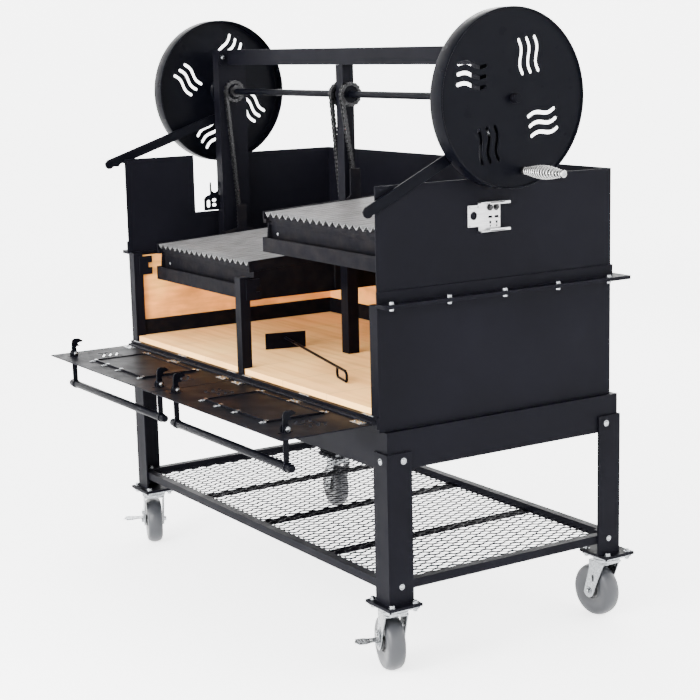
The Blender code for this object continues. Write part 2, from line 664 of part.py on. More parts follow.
def add_winch(name, side):
    centre = (0, SHAFT_Y, SHAFT_Z)
    disc_edge = arc((SHAFT_Y, SHAFT_Z), WHEEL_R - WHEEL_WALL + 0.001, 0, 351, 39)
    bore = arc((SHAFT_Y, SHAFT_Z), SHAFT_R + GAP, 0, 337.5, 15)
    disc = plate(disc_edge, mirrored(DISC_X, side), holes=[bore, *slot_trios(side)])
    rim = lathe(ring((WHEEL_R - WHEEL_WALL, WHEEL_R), WHEEL_X, side), centre, (1, 0, 0), 40)
    hub = lathe(ring((SHAFT_R + GAP, HUB_R), (HUB_BACK_X, DISC_X[0] + 0.001), side), centre, (1, 0, 0), 16)
    grip_y, grip_z = grip_centre(side)
    pin_x = (side * (DISC_X[0] + 0.001), side * (GRIP_X[1] - 0.004))
    pin = rod((pin_x[0], grip_y, grip_z), (pin_x[1], grip_y, grip_z), PIN_R)
    finish(f"hand_wheel_{name}", "satin_black", disc, add=[rim, hub, pin], smooth=True, origin=centre)
    grip = []
    steps = 8
    for i in range(steps + 1):
        share = i / steps
        x = GRIP_X[0] + share * (GRIP_X[1] - GRIP_X[0])
        swell = (GRIP_R[1] - GRIP_R[0]) * math.sin(math.pi * share) ** 1.3
        grip.append((GRIP_R[0] + swell, side * x))
    hole = PIN_R + GAP
    profile = grip + [(hole, side * GRIP_X[1]), (hole, side * GRIP_X[0])]
    finish(
        f"spring_grip_{name}",
        "stainless",
        lathe(profile, (0, grip_y, grip_z), (1, 0, 0), 20),
        smooth=True,
        origin=(0, grip_y, grip_z),
    )
    shaft = round_bar((0.004, SHAFT_END_X), side, SHAFT_R)
    wheels = [round_bar((x - 0.004, x + 0.004), side, CHAIN_R - CHAIN_HALF - GAP, 32) for x in CHAIN_X]
    drum = round_bar(DRUM_X, side, DRUM_R, 32)
    finish(f"shaft_{name}", "satin_black", shaft, add=[join(*wheels), drum], smooth=True, origin=centre)


def round_bar(span, side, radius, segments=16):
    """A round bar on the shaft's axis, on the given side."""
    start, end = span
    return rod((side * start, SHAFT_Y, SHAFT_Z), (side * end, SHAFT_Y, SHAFT_Z), radius, segments)


def grip_centre(side):
    """Where a hand wheel's grip is, in y and z."""
    angle = math.radians(-81.8 if side > 0 else 25.0)
    return SHAFT_Y + GRIP_ORBIT * math.cos(angle), SHAFT_Z + GRIP_ORBIT * math.sin(angle)


def add_lever(name, side):
    """A flat lever with finger waves under its grip, and a tail over the brake drum."""
    half = LEVER_HALF
    outline = [(-0.428, -0.012), (-0.422, -half), (-0.400, 0.003 - half), (-0.388, -half - 0.002)]
    outline += [(-0.372, 0.003 - half), (-0.360, -half - 0.002), (-0.344, 0.002 - half), (-0.330, -half)]
    outline += [(0.050, -half), (0.062, -0.006), (0.062, 0.004), (0.056, 0.0125), (0.020, 0.0125)]
    outline += [(-0.020, half), (-0.420, half), (-0.432, 0.006), (-0.433, -0.006)]
    turn = Matrix.Rotation(LEVER_SLOPE[side], 2)
    turned = [Vector(LEVER_PIVOT) + turn @ Vector(point) for point in outline]
    hole = arc(LEVER_PIVOT, LEVER_PIN_R, 0, 337.5, 15)
    lever = plate(turned, mirrored(LEVER_X, side), holes=[hole])
    finish(f"brake_lever_{name}", "satin_black", lever, origin=(side * LEVER_X[0], *LEVER_PIVOT))


def add_motor_bracket():
    """A folded channel with a holed plate at its front, on the right guard."""
    face = BOX_HALF_X + GAP
    y, z = MOTOR_CHANNEL
    wall = 0.003
    back = plate(
        rectangle((-0.1215, -0.0155), (z[0] + 0.013, z[1] - 0.007)),
        (face, face + wall),
        holes=[arc((-0.1026, 1.2035), 0.011, 0, 345, 23)],
    )
    channel = block((face + 0.002, face + 0.016), y, z)
    hollow_x = (face + 0.002 + wall, face + 0.03)
    hollow = block(hollow_x, (y[0] - 0.012, y[1] + 0.01), (z[0] + wall, z[1] - wall))
    finish("spit_motor_bracket", "stainless", cut_mesh(channel, [hollow]), add=[back])


def add_cradle():
    """A forked plate on a tab, on the front of the left post."""
    front = SHAFT_Y - POST_HALF_Y - GAP
    low, shoulder, tip = CRADLE_Z
    fork_y = CRADLE_Y[1]
    outline = [(CRADLE_Y[0], low), (front, low), (front, shoulder), (fork_y + 0.013, shoulder + 0.004)]
    outline += [(fork_y + 0.018, tip), (fork_y + 0.013, tip)]
    outline += arc((fork_y, tip - 0.022), 0.013, 0, -180, 8)
    outline += [(fork_y - 0.013, tip), (fork_y - 0.018, tip), (fork_y - 0.018, shoulder + 0.006)]
    outline.append((CRADLE_Y[0], shoulder - 0.004))
    yoke = plate(outline, CRADLE_X, holes=[arc((-0.103, 1.138), 0.006, 0, 330, 11)])
    tab = block((-POST_X[1], CRADLE_X[1] - 0.001), (front - 0.004, front), (low, shoulder - 0.002))
    finish("spit_cradle", "satin_black", yoke, add=[tab])


# Grates


def sloped(mesh, top):
    """Tilts a mesh that was built flat, so that it rises towards the back from the grate's front edge."""
    pivot = Vector((0, GRATE_Y[0], top))
    turn = Matrix.Rotation(GRATE_SLOPE, 4, "X")
    mesh.transform(Matrix.Translation(pivot) @ turn @ Matrix.Translation(-pivot))
    return mesh


def add_grate(name, side):
    """V bars on two cross flats."""
    top = GRATE_TOP[name]
    inner = (GRATE_X[0] + SIDE_PLATE, GRATE_X[1] - SIDE_PLATE)
    pitch = (inner[1] - inner[0]) / V_BARS
    half = pitch / 2 - 0.0018
    bars = []
    for i in range(V_BARS):
        x = side * (inner[0] + pitch * (i + 0.5))
        outline = [(x - half, top), (x, top - V_DEPTH), (x + half, top)]
        outline += [(x + half - V_WALL, top), (x, top - V_DEPTH + V_WALL * 1.3), (x - half + V_WALL, top)]
        bars.append(plate(outline, GRATE_Y, "XZ"))
    flat_x = (inner[0] + GAP, inner[1] - GAP)
    flat_z = (top - V_DEPTH - 0.005, top - V_DEPTH + 0.002)
    flat_backs = (GRATE_Y[0] + 0.012, GRATE_Y[1] - 0.030)
    flats = [block(mirrored(flat_x, side), (y, y + 0.018), flat_z) for y in flat_backs]
    finish(f"grate_{name}", "stainless", sloped(join(*flats), top), add=[sloped(join(*bars), top)])


def add_tray(name, side):
    """The frame that holds the bars: a ledged rail at each side and a drip plate that hangs in front."""
    top = GRATE_TOP[name]
    low, high = top + TRAY_Z[0], top + TRAY_Z[1]
    ledge_z = (low, top - V_DEPTH - 0.005 - GAP)
    rails = []
    for edge, inward in ((GRATE_X[0], 1), (GRATE_X[1], -1)):
        wall = edge + inward * SIDE_PLATE
        ledge = wall + inward * LEDGE
        outline = [(edge, low), (ledge, low), (ledge, ledge_z[1])]
        outline += [(wall, ledge_z[1]), (wall, high), (edge, high)]
        rails.append(plate([(side * x, z) for x, z in outline], (GRATE_Y[0] - TRAY_FRONT, GRATE_Y[1]), "XZ"))
    inner_x = mirrored((GRATE_X[0] + SIDE_PLATE + GAP, GRATE_X[1] - SIDE_PLATE - GAP), side)
    front_y, back_y = (GRATE_Y[0] + y for y in TRAY_PLATE_Y)
    bottom, upper = (top + z for z in TRAY_PLATE_Z)
    bar_y = GRATE_Y[0] + TRAY_BAR[0]
    bar_z = top + TRAY_BAR[1]
    outline = [(bar_y, bar_z), (front_y, bar_z), (front_y, bottom)]
    outline += [(back_y, bottom), (back_y, upper), (bar_y, upper)]
    drip_plate = plate(outline, inner_x)
    finish(f"grate_tray_{name}", "black", sloped(join(*rails), top), add=[sloped(drip_plate, top)])


def guide_ear(name, half_y, widest):
    """The outline of a plate that runs up beside a post and narrows to the chain's clip."""
    top = GRATE_TOP[name]
    low = top - CARRIAGE_DROP + 0.010
    shoulder = top + widest
    hook = (CLIP_Y[0] - 0.004, CLIP_Y[1] + 0.004)
    outline = [(SHAFT_Y - half_y, low), (SHAFT_Y + half_y, low), (SHAFT_Y + half_y, shoulder)]
    outline += [(hook[1], shoulder + 0.010), (hook[1], top + HOOK_Z[1] + 0.006)]
    outline += [(hook[0], top + HOOK_Z[1] + 0.006), (hook[0], shoulder + 0.010), (SHAFT_Y - half_y, shoulder)]
    return outline


def add_carriage(name, side):
    """A drip channel, a rear beam and side plates below the tray, with ears that grip the chains."""
    top = GRATE_TOP[name]
    low = top - CARRIAGE_DROP
    beam_z = (low, low + BEAM_HEIGHT)
    drip_x = (GRATE_X[0] - 0.002, GRATE_X[1] + 0.002)
    hollow_x = (drip_x[0] + DRIP_WALL, drip_x[1] - DRIP_WALL)
    hollow_y = (DRIP_Y[0] + DRIP_WALL, DRIP_Y[1] - DRIP_WALL)
    hollow = block(mirrored(hollow_x, side), hollow_y, (low + DRIP_WALL, top))
    channel = cut_mesh(block(mirrored(drip_x, side), DRIP_Y, beam_z), [hollow])
    beams = [channel, block(mirrored((0.034, 0.668), side), (0.290, 0.312), beam_z)]
    rise = math.tan(GRATE_SLOPE)
    rest = top + TRAY_Z[0] / math.cos(GRATE_SLOPE) - GAP
    outline = [
        (DRIP_Y[0] + 0.001, low + 0.001),
        (0.310, low + 0.001),
        (0.310, rest + rise * (0.310 - GRATE_Y[0])),
        (-0.327, rest + rise * (-0.327 - GRATE_Y[0])),
        (-0.331, beam_z[1] - 0.001),
        (DRIP_Y[0] + 0.001, beam_z[1] - 0.001),
    ]
    plates = []
    for x in ((GRATE_X[0] + 0.0005, GRATE_X[0] + SIDE_PLATE), (GRATE_X[1] - SIDE_PLATE, GRATE_X[1] - 0.0005)):
        plates.append(plate(outline, mirrored(x, side)))
    inner_x = (GRATE_X[0] - 0.008, GRATE_X[0] - GAP)
    outer_x = (GRATE_X[1] + GAP, GRATE_X[1] + 0.008)
    post_y = (SHAFT_Y - POST_HALF_Y, SHAFT_Y + POST_HALF_Y)
    ears = [
        plate(guide_ear(name, CENTRE_POST_HALF + 0.006, 0.020), mirrored(inner_x, side)),
        plate(guide_ear(name, POST_HALF_Y + 0.006, 0.020), mirrored(outer_x, side)),
    ]
    clips = []
    spacer_y = (SHAFT_Y - CENTRE_POST_HALF, SHAFT_Y + CENTRE_POST_HALF)
    for x in ((GRATE_X[0] - 0.001, GRATE_X[0] + 0.002), (GRATE_X[1] - 0.002, GRATE_X[1] + 0.001)):
        clips.append(block(mirrored(x, side), spacer_y, (low + 0.012, low + 0.040)))
    clip_z = (top + HOOK_Z[0], top + HOOK_Z[1])
    inner_clip = (CHAIN_X[0] + CHAIN_HALF_X + GAP, inner_x[0] + 0.001)
    outer_clip = (outer_x[1] - 0.001, CHAIN_X[1] - CHAIN_HALF_X - GAP)
    for x in (inner_clip, outer_clip):
        clips.append(block(mirrored(x, side), CLIP_Y, clip_z))
    for y in ((post_y[0] - 0.006, post_y[0] - GAP), (post_y[1] + GAP, post_y[1] + 0.006)):
        clips.append(block(mirrored((outer_x[1] - 0.002, 0.700), side), y, (top - 0.050, top + 0.018)))
    finish(f"carriage_{name}", "black", join(*plates), add=[join(*beams), join(*ears), join(*clips)])


# Doors


def door_slots(side):
    """The window under the cover plate, and three wave vents at each side of it."""
    x, y = COVER_CENTRE
    half_x, half_y = WINDOW_HALF
    slots = [rectangle((x - half_x, x + half_x), (y - half_y, y + half_y))]
    for x in (0.118, 0.614):
        for row in (-1, 0, 1):
            slots.append(wave_slot((x, y + 0.022 * row), 0.074, 0.009, 0.0))
    return [[(side * x, y) for x, y in slot] for slot in slots]


def add_door(name, side):
    outline = rectangle(mirrored(DOOR_X, side), (DOOR_FRONT_Y, HINGE_Y - 0.002))
    sheet = plate(outline, DOOR_Z, "XY", holes=door_slots(side))
    runs, lug_places = hinge_runs()
    knuckles = []
    for low, high in runs:
        knuckles.append(rod((side * low, HINGE_Y, HINGE_Z), (side * high, HINGE_Y, HINGE_Z), KNUCKLE_R))
    reach = LUG_HALF + GAP
    notches = [
        block((side * x - reach, side * x + reach), (HINGE_Y - KNUCKLE_R, HINGE_Y + 0.02), (0.6, 0.8))
        for x in lug_places
    ]
    ears = []
    for x in LATCH_X:
        for offset in (-0.011, 0.011):
            middle = side * (x + offset)
            foot = DOOR_Z[1] - 0.001
            ear = [(LATCH_PIVOT[0] - LATCH_EAR_R, foot), (LATCH_PIVOT[0] + LATCH_EAR_R, foot)]
            ear += arc(LATCH_PIVOT, LATCH_EAR_R, 0, 180, 8)
            hole = arc(LATCH_PIVOT, 0.0045, 0, 337.5, 15)
            ears.append(plate(ear, (middle - 0.0015, middle + 0.0015), holes=[hole]))
    bore = rod((-0.8, HINGE_Y, HINGE_Z), (0.8, HINGE_Y, HINGE_Z), HINGE_PIN_R + GAP)
    hook_y = (LATCH_PIVOT[0] - 0.022, LATCH_PIVOT[0] + 0.022)
    hook_slots = [block(mirrored((x - 0.0035, x + 0.0035), side), hook_y, (0.6, 0.8)) for x in LATCH_X]
    finish(
        f"door_{name}",
        "black",
        sheet,
        add=[join(*knuckles), join(*ears)],
        cut=[bore, join(*hook_slots), join(*notches)],
        origin=(0, HINGE_Y, HINGE_Z),
    )
    cover_x = (side * COVER_CENTRE[0] - COVER_SIZE[0] / 2, side * COVER_CENTRE[0] + COVER_SIZE[0] / 2)
    cover_y = (COVER_CENTRE[1] - COVER_SIZE[1] / 2, COVER_CENTRE[1] + COVER_SIZE[1] / 2)
    cover_z = (DOOR_Z[1] + GAP, DOOR_Z[1] + GAP + COVER_THICK)
    finish(f"door_cover_{name}", "black", block(cover_x, cover_y, cover_z))


def add_latch(name, side):
    pivot_y, pivot_z = LATCH_PIVOT
    bar_y, bar_z = HANDLE_BAR
    ends = [(side * x, bar_y, bar_z) for x in HANDLE_BAR_X]
    bar = rod(*ends, HANDLE_BAR_R, 20)
    arms = []
    for x in LATCH_X:
        outline = [
            (bar_y - 0.008, bar_z),
            (bar_y + 0.008, bar_z),
            (pivot_y + 0.008, pivot_z - 0.010),
            (pivot_y + 0.010, pivot_z + 0.006),
            (pivot_y + 0.012, pivot_z + 0.030),
            (pivot_y + 0.030, pivot_z + 0.030),
            (pivot_y + 0.036, pivot_z + 0.045),
            (pivot_y + 0.002, pivot_z + 0.047),
            (pivot_y - 0.007, pivot_z + 0.038),
            (pivot_y - 0.009, pivot_z - 0.010),
        ]
        arms.append(plate(outline, mirrored((x - 0.0025, x + 0.0025), side)))
    pins = []
    for x in LATCH_X:
        start = (side * (x - 0.014), pivot_y, pivot_z)
        pins.append(rod(start, (side * (x + 0.014), pivot_y, pivot_z), 0.0045 - GAP, 16))
    finish(
        f"latch_handle_{name}",
        "satin_black",
        bar,
        add=[join(*arms), join(*pins)],
        smooth=True,
        origin=(0, pivot_y, pivot_z),
    )


# Casters


def add_caster(name, side, row, heading):
    """Built with the wheel trailing along +X from the swivel, then turned to its heading."""
    swivel = Vector((side * BASE_PLATE_X, BASE_PLATE_Y[row], 0))
    place = Matrix.Translation(swivel) @ Matrix.Rotation(heading, 4, "Z")
    axle = Vector((CASTER_TRAIL, 0, WHEEL_RADIUS))
    race = rod((0, 0, 0.172), (0, 0, 0.189 - GAP), 0.036, 24)
    crown = block((-0.032, 0.040), (-0.0335, 0.0335), (0.164, 0.174))
    legs = []
    outline = [(-0.030, 0.170), (0.012, WHEEL_RADIUS + 0.02)]
    outline += arc((axle.x, axle.z), 0.020, 200, 360, 8)
    outline += [(0.052, 0.170)]
    for y in ((-0.0335, -0.0295), (0.0295, 0.0335)):
        legs.append(plate(outline, y, "XZ"))
    pin = rod((axle.x, -0.038, axle.z), (axle.x, 0.038, axle.z), 0.006)
    pieces = [race, crown, join(*legs), pin]
    for mesh in pieces:
        mesh.transform(place)
    finish(f"caster_fork_{name}", "zinc", pieces[0], add=pieces[1:], smooth=True, origin=swivel)
    radius = WHEEL_RADIUS
    tread = [
        (0.0063, -0.028),
        (0.019, -0.028),
        (0.019, -0.017),
        (radius - 0.019, -0.017),
        (radius - 0.016, -0.024),
        (radius - 0.005, -0.023),
        (radius, -0.012),
        (radius, 0.012),
        (radius - 0.005, 0.023),
        (radius - 0.016, 0.024),
        (radius - 0.019, 0.017),
        (0.019, 0.017),
        (0.019, 0.028),
        (0.0063, 0.028),
    ]
    wheel = lathe(tread, axle, (0, 1, 0))
    wheel.transform(place)
    finish(f"caster_wheel_{name}", "grey_wheel", wheel, smooth=True, origin=place @ axle)
    if row == 0:
        add_brake_pedal(name, place)


def add_brake_pedal(name, place):
    arm = block((0.020, 0.050), (0.0345, 0.038), (0.0835, 0.112))
    tread = block((0.014, 0.056), (0.037, 0.088), (0.086, 0.090))
    tip = block((0.014, 0.056), (0.086, 0.100), (0.083, 0.088))
    meshes = [arm, tread, tip]
    for mesh in meshes:
        mesh.transform(place)
    finish(f"brake_pedal_{name}", "zinc", meshes[0], add=meshes[1:], origin=place @ Vector(PEDAL_HINGE))


def add_rake():
    head = Vector((-0.193, -0.140, FLOOR_TOP_Z + GAP))
    end = Vector((0.384, -0.284, FLOOR_TOP_Z + GAP))
    direction = (end - head).normalized()
    turn = Matrix.Rotation(math.atan2(direction.y, direction.x), 4, "Z")
    place = Matrix.Translation(head) @ turn
    blade = block((-0.0015, 0.0015), (-0.065, 0.065), (0.0, 0.050))
    length = (end - head).length
    radius = 0.004
    height = 0.033
    shank = rod((0.0, 0.0, height), (length - 0.012, 0.0, height), radius, 12)
    loop_points = [
        (length - 0.016, 0, height),
        (length - 0.004, 0, height - 0.004),
        (length, 0, height - 0.010),
        (length, 0, 0.012),
        (length - 0.006, 0, 0.0045),
        (length - 0.078, 0, 0.0045),
        (length - 0.084, 0, 0.012),
        (length - 0.084, 0, height),
    ]
    loop = tube_path(loop_points, radius)
    for mesh in (blade, shank, loop):
        mesh.transform(place)
    finish("ember_rake", "satin_black", blade, add=[shank, loop])


clear_scene()
PARTS = collection("Wood_Fire_Grill_Cart")
TOOLS = collection("Cutters", hidden=True)

for caster, (caster_side, caster_row, caster_heading) in CASTERS.items():
    add_leg(caster, caster_side, caster_row)
    add_caster(caster, caster_side, caster_row, caster_heading)
add_cart_frame()
add_shelf()
add_firebox_shell()
add_front_sill()
add_middle_post()
add_lining()
add_guards()
add_posts()
add_beam()
add_motor_bracket()
add_cradle()
for half_name, half_side in (("left", -1), ("right", 1)):
    add_chain(half_name, half_side, 0)
    add_chain(half_name, half_side, 1)
    add_winch(half_name, half_side)
    add_lever(half_name, half_side)
    add_grate(half_name, half_side)
    add_tray(half_name, half_side)
    add_carriage(half_name, half_side)
    add_door(half_name, half_side)
    add_latch(half_name, half_side)
add_rake()
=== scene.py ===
"""Looks for the wood fire grill cart: finishes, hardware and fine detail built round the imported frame."""

import json
import math

import bmesh
import bpy
from bpy.props import FloatProperty, FloatVectorProperty, IntProperty, PointerProperty
from bpy.types import Operator, Panel, PropertyGroup
from mathutils import Matrix, Vector


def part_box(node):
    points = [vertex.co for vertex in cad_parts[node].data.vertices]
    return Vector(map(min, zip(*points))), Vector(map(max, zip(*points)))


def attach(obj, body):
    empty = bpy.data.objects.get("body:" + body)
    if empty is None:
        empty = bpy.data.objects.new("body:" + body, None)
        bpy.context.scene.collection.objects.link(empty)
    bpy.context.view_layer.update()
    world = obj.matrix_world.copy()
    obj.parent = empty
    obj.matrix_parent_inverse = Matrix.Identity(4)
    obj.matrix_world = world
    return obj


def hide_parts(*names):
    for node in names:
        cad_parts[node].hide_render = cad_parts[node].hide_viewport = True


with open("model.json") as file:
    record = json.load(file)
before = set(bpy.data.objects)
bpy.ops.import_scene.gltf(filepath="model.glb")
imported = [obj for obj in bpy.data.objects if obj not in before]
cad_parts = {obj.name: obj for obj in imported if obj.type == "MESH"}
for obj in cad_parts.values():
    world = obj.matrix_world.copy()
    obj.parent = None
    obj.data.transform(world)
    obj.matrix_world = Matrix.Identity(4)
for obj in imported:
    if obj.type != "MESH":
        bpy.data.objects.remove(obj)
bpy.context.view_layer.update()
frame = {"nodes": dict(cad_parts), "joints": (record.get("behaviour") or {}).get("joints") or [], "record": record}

bl_info = {
    "name": "Wood Fire Grill Cart",
    "version": (1, 0, 0),
    "blender": (4, 5, 0),
    "location": "3D View > Sidebar > Grill Cart",
    "description": "Finishes and fits out a wood fire grill cart round its packed frame",
    "category": "Object",
}

SIDES = (("left", -1), ("right", 1))
CORNERS = (("front_left", -1, -1), ("front_right", 1, -1), ("rear_left", -1, 1), ("rear_right", 1, 1))

STRANDS = ("outer", "inner")

# Places read from the frame
SHAFT_LOW, SHAFT_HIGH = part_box("shaft_right")
SHAFT_Y = (SHAFT_LOW.y + SHAFT_HIGH.y) / 2
SHAFT_Z = (SHAFT_LOW.z + SHAFT_HIGH.z) / 2
SHAFT = (SHAFT_Y, SHAFT_Z)
SHAFT_END = SHAFT_HIGH.x


def joint_at(name):
    """Where a joint stands."""
    return Vector(next(joint for joint in frame["joints"] if joint["name"] == name)["pos_m"])


# Settings a user would change


def size_of(name, description, default):
    return FloatProperty(name=name, description=description, default=default, unit="LENGTH")


def colour_of(name, description, default):
    return FloatVectorProperty(name=name, description=description, default=default, subtype="COLOR")


class GrillSizes(PropertyGroup):
    bolt_head: size_of("Bolt head", "Radius of a frame bolt's head", 0.0065)
    strand: size_of("Mesh strand", "Width of a strand of the shelf's mesh", 0.0048)
    mesh_long: size_of("Mesh length", "Long way of a mesh opening", 0.052)
    mesh_short: size_of("Mesh width", "Short way of a mesh opening", 0.028)
    chain_pitch: size_of("Chain pitch", "Distance between chain pins", 0.0127)
    grip_wire: size_of("Grip wire", "Thickness of the coil grip's wire", 0.0056)
    grip_turns: IntProperty(name="Grip turns", description="Turns in the coil grip", default=15)


class GrillColours(PropertyGroup):
    powder: colour_of("Powder coat", "Satin black coat", (0.0021, 0.0021, 0.0033))
    enamel: colour_of("Enamel", "Smoother black of the wheels", (0.0011, 0.0012, 0.0021))
    steel: colour_of("Stainless", "Grates and spit bracket", (0.23, 0.23, 0.233))
    zinc: colour_of("Zinc", "Casters and bolts", (0.24, 0.25, 0.26))
    clay: colour_of("Clay board", "Firebox walls", (1.0, 0.41, 0.095))
    cream: colour_of("Floor slab", "Firebox floor", (1.0, 0.54, 0.175))
    tread: colour_of("Tread", "Caster wheels", (0.021, 0.022, 0.025))


class GrillStudio(PropertyGroup):
    camera_place: FloatVectorProperty(
        name="Camera place",
        description="Where the camera stands",
        default=(4.1545, -2.5419, 1.6558),
        subtype="TRANSLATION",
    )
    camera_turn: FloatVectorProperty(
        name="Camera turn",
        description="Heading, downward tilt and roll of the camera",
        default=(math.radians(57.4524), math.radians(10.6125), math.radians(-1.3411)),
        subtype="EULER",
    )
    camera_lens: FloatProperty(name="Lens", description="Focal length in millimetres", default=84.45)
    key_power: FloatProperty(
        name="Key light",
        description="Power of the front light",
        default=150.0,
        unit="POWER",
    )
    air: FloatProperty(name="Air", description="Brightness of the light from above", default=1.2)
    glow: FloatProperty(name="Glow", description="Brightness that the studio's paper adds", default=2.2)


def sizes():
    return bpy.context.scene.grill_sizes


def colours():
    return bpy.context.scene.grill_colours


# Finishes

# Low enough for a black coat to keep its depth where it is seen at a flat angle
DULL_IOR = 1.09


class Finish:
    """A Principled material with short calls for the nodes that the finishes share."""

    def __init__(self, name):
        self.material = bpy.data.materials.new(name)
        self.material.use_nodes = True
        self.tree = self.material.node_tree
        self.shader = self.tree.nodes["Principled BSDF"]
        self.place = self.node("ShaderNodeTexCoord").outputs["Object"]

    def fill(self, node, inputs):
        """Links or sets a node's inputs by their names, written with _ for a space."""
        for key, value in inputs.items():
            socket = node.inputs[key.replace("_", " ")]
            if isinstance(value, bpy.types.NodeSocket):
                self.tree.links.new(value, socket)
            else:
                socket.default_value = value
        return node

    def node(self, kind, **inputs):
        return self.fill(self.tree.nodes.new(kind), inputs)

    def done(self, **inputs):
        """The material, once its shader's inputs are linked or set."""
        self.fill(self.shader, inputs)
        return self.material

    def stretched(self, scale):
        return self.node("ShaderNodeMapping", Vector=self.place, Scale=scale).outputs["Vector"]

    def noise(self, scale, detail, where=None):
        made = self.node("ShaderNodeTexNoise", Vector=where or self.place, Scale=scale, Detail=detail)
        return made.outputs["Fac"]

    def ramp(self, value, stops):
        made = self.tree.nodes.new("ShaderNodeValToRGB")
        self.tree.links.new(value, made.inputs["Fac"])
        while len(made.color_ramp.elements) < len(stops):
            made.color_ramp.elements.new(0.5)
        for element, (position, colour) in zip(made.color_ramp.elements, stops):
            element.position = position
            element.color = (*colour, 1.0)
        return made.outputs["Color"]

    def multiplied(self, colour, tint, amount):
        """The colour times the tint, by the given amount."""
        made = self.tree.nodes.new("ShaderNodeMix")
        made.data_type = "RGBA"
        made.blend_type = "MULTIPLY"
        made.inputs["Factor"].default_value = amount
        self.tree.links.new(colour, made.inputs["A"])
        self.tree.links.new(tint, made.inputs["B"])
        return made.outputs["Result"]

    def spread(self, value, low, high):
        """The value's middle range taken to low..high."""
        middle = {"From_Min": 0.3, "From_Max": 0.7}
        made = self.node("ShaderNodeMapRange", Value=value, **middle, To_Min=low, To_Max=high)
        return made.outputs["Result"]

    def relief(self, *layers, edge=0.0):
        """Bumps from (value, strength, depth) layers, over softened edges if edge isn't 0."""
        normal = None
        if edge:
            softened = self.node("ShaderNodeBevel", Radius=edge)
            softened.samples = 4
            normal = softened.outputs["Normal"]
        for value, strength, depth in layers:
            bump = self.node("ShaderNodeBump", Height=value, Strength=strength, Distance=depth)
            if normal:
                self.tree.links.new(normal, bump.inputs["Normal"])
            normal = bump.outputs["Normal"]
        self.tree.links.new(normal, self.shader.inputs["Normal"])


def shade(colour, factor):
    return tuple(min(1.0, channel * factor) for channel in colour)


def powder_coat():
    """Satin black with a fine orange peel, faint dust and softened edges."""
    coat = Finish("powder_coat")
    base = colours().powder
    dust = coat.noise(3.0, 6.0)
    tint = coat.ramp(dust, [(0.35, base), (0.62, shade(base, 1.3)), (0.8, shade(base, 1.8))])
    coat.relief((coat.noise(1100.0, 2.0), 0.10, 0.0004), (coat.noise(60.0, 2.0), 0.02, 0.001), edge=0.0012)
    return coat.done(Base_Color=tint, Roughness=coat.spread(coat.noise(14.0, 5.0), 0.38, 0.52), IOR=DULL_IOR)


def wheel_enamel():
    """The hand wheels' and handles' smoother black, a little glossier, with a speckle."""
    coat = Finish("wheel_enamel")
    base = colours().enamel
    speck = coat.noise(420.0, 2.0)
    tint = coat.ramp(speck, [(0.45, base), (0.68, shade(base, 1.6))])
    coat.relief((coat.noise(800.0, 2.0), 0.12, 0.0004), edge=0.001)
    return coat.done(Base_Color=tint, Roughness=coat.spread(coat.noise(22.0, 4.0), 0.26, 0.40), IOR=DULL_IOR)


def band_black():
    """Dull black of the foot band and of steel that has seen smoke."""
    coat = Finish("band_black")
    base = colours().powder
    smoke = (base[0] * 2.6, base[1] * 2.2, base[2] * 1.5)
    tint = coat.ramp(coat.noise(30.0, 6.0), [(0.4, base), (0.75, smoke)])
    coat.relief((coat.noise(500.0, 3.0), 0.2, 0.0005), edge=0.001)
    return coat.done(Base_Color=tint, Roughness=coat.spread(coat.noise(50.0, 4.0), 0.5, 0.68), IOR=DULL_IOR)


def brushed(name, colour, grain, rough, metallic=1.0):
    """Brushed metal with its lines along the direction in which grain is small."""
    metal = Finish(name)
    lines = metal.noise(1.0, 6.0, metal.stretched(grain))
    tint = metal.ramp(lines, [(0.3, shade(colour, 0.62)), (0.55, colour), (0.75, shade(colour, 1.25))])
    metal.relief((lines, 0.16, 0.0004), (metal.noise(25.0, 3.0), 0.04, 0.001), edge=0.0006)
    roughness = metal.spread(lines, rough - 0.08, rough + 0.10)
    return metal.done(Base_Color=tint, Roughness=roughness, Metallic=metallic)


def grate_steel():
    return brushed("grate_steel", colours().steel, (420.0, 9.0, 420.0), 0.38, 0.92)


def bracket_steel():
    return brushed("bracket_steel", shade(colours().steel, 1.7), (30.0, 14.0, 500.0), 0.34)


def zinc_plate():
    """Bright zinc with a faint blue cast and spangle."""
    metal = Finish("zinc_plate")
    base = colours().zinc
    spangle = metal.node("ShaderNodeTexVoronoi", Vector=metal.place, Scale=160.0).outputs["Distance"]
    tint = metal.ramp(spangle, [(0.2, shade(base, 0.8)), (0.6, base), (0.9, shade(base, 1.2))])
    metal.relief((metal.noise(400.0, 2.0), 0.08, 0.0003), edge=0.0007)
    roughness = metal.spread(metal.noise(90.0, 3.0), 0.2, 0.34)
    return metal.done(Base_Color=tint, Roughness=roughness, Metallic=1.0)


def grip_nickel():
    metal = Finish("grip_nickel")
    tint = metal.ramp(metal.noise(240.0, 3.0), [(0.3, (0.20, 0.20, 0.20)), (0.7, (0.42, 0.42, 0.41))])
    metal.relief((metal.noise(700.0, 2.0), 0.05, 0.0002))
    roughness = metal.spread(metal.noise(300.0, 3.0), 0.12, 0.26)
    return metal.done(Base_Color=tint, Roughness=roughness, Metallic=1.0)


def chain_steel():
    metal = Finish("chain_steel")
    oil = metal.noise(180.0, 4.0)
    tint = metal.ramp(oil, [(0.3, (0.004, 0.004, 0.005)), (0.7, (0.022, 0.022, 0.023))])
    metal.relief((metal.noise(900.0, 2.0), 0.08, 0.0002))
    roughness = metal.spread(oil, 0.25, 0.45)
    return metal.done(Base_Color=tint, Roughness=roughness, Metallic=0.6, Specular_IOR_Level=0.3)


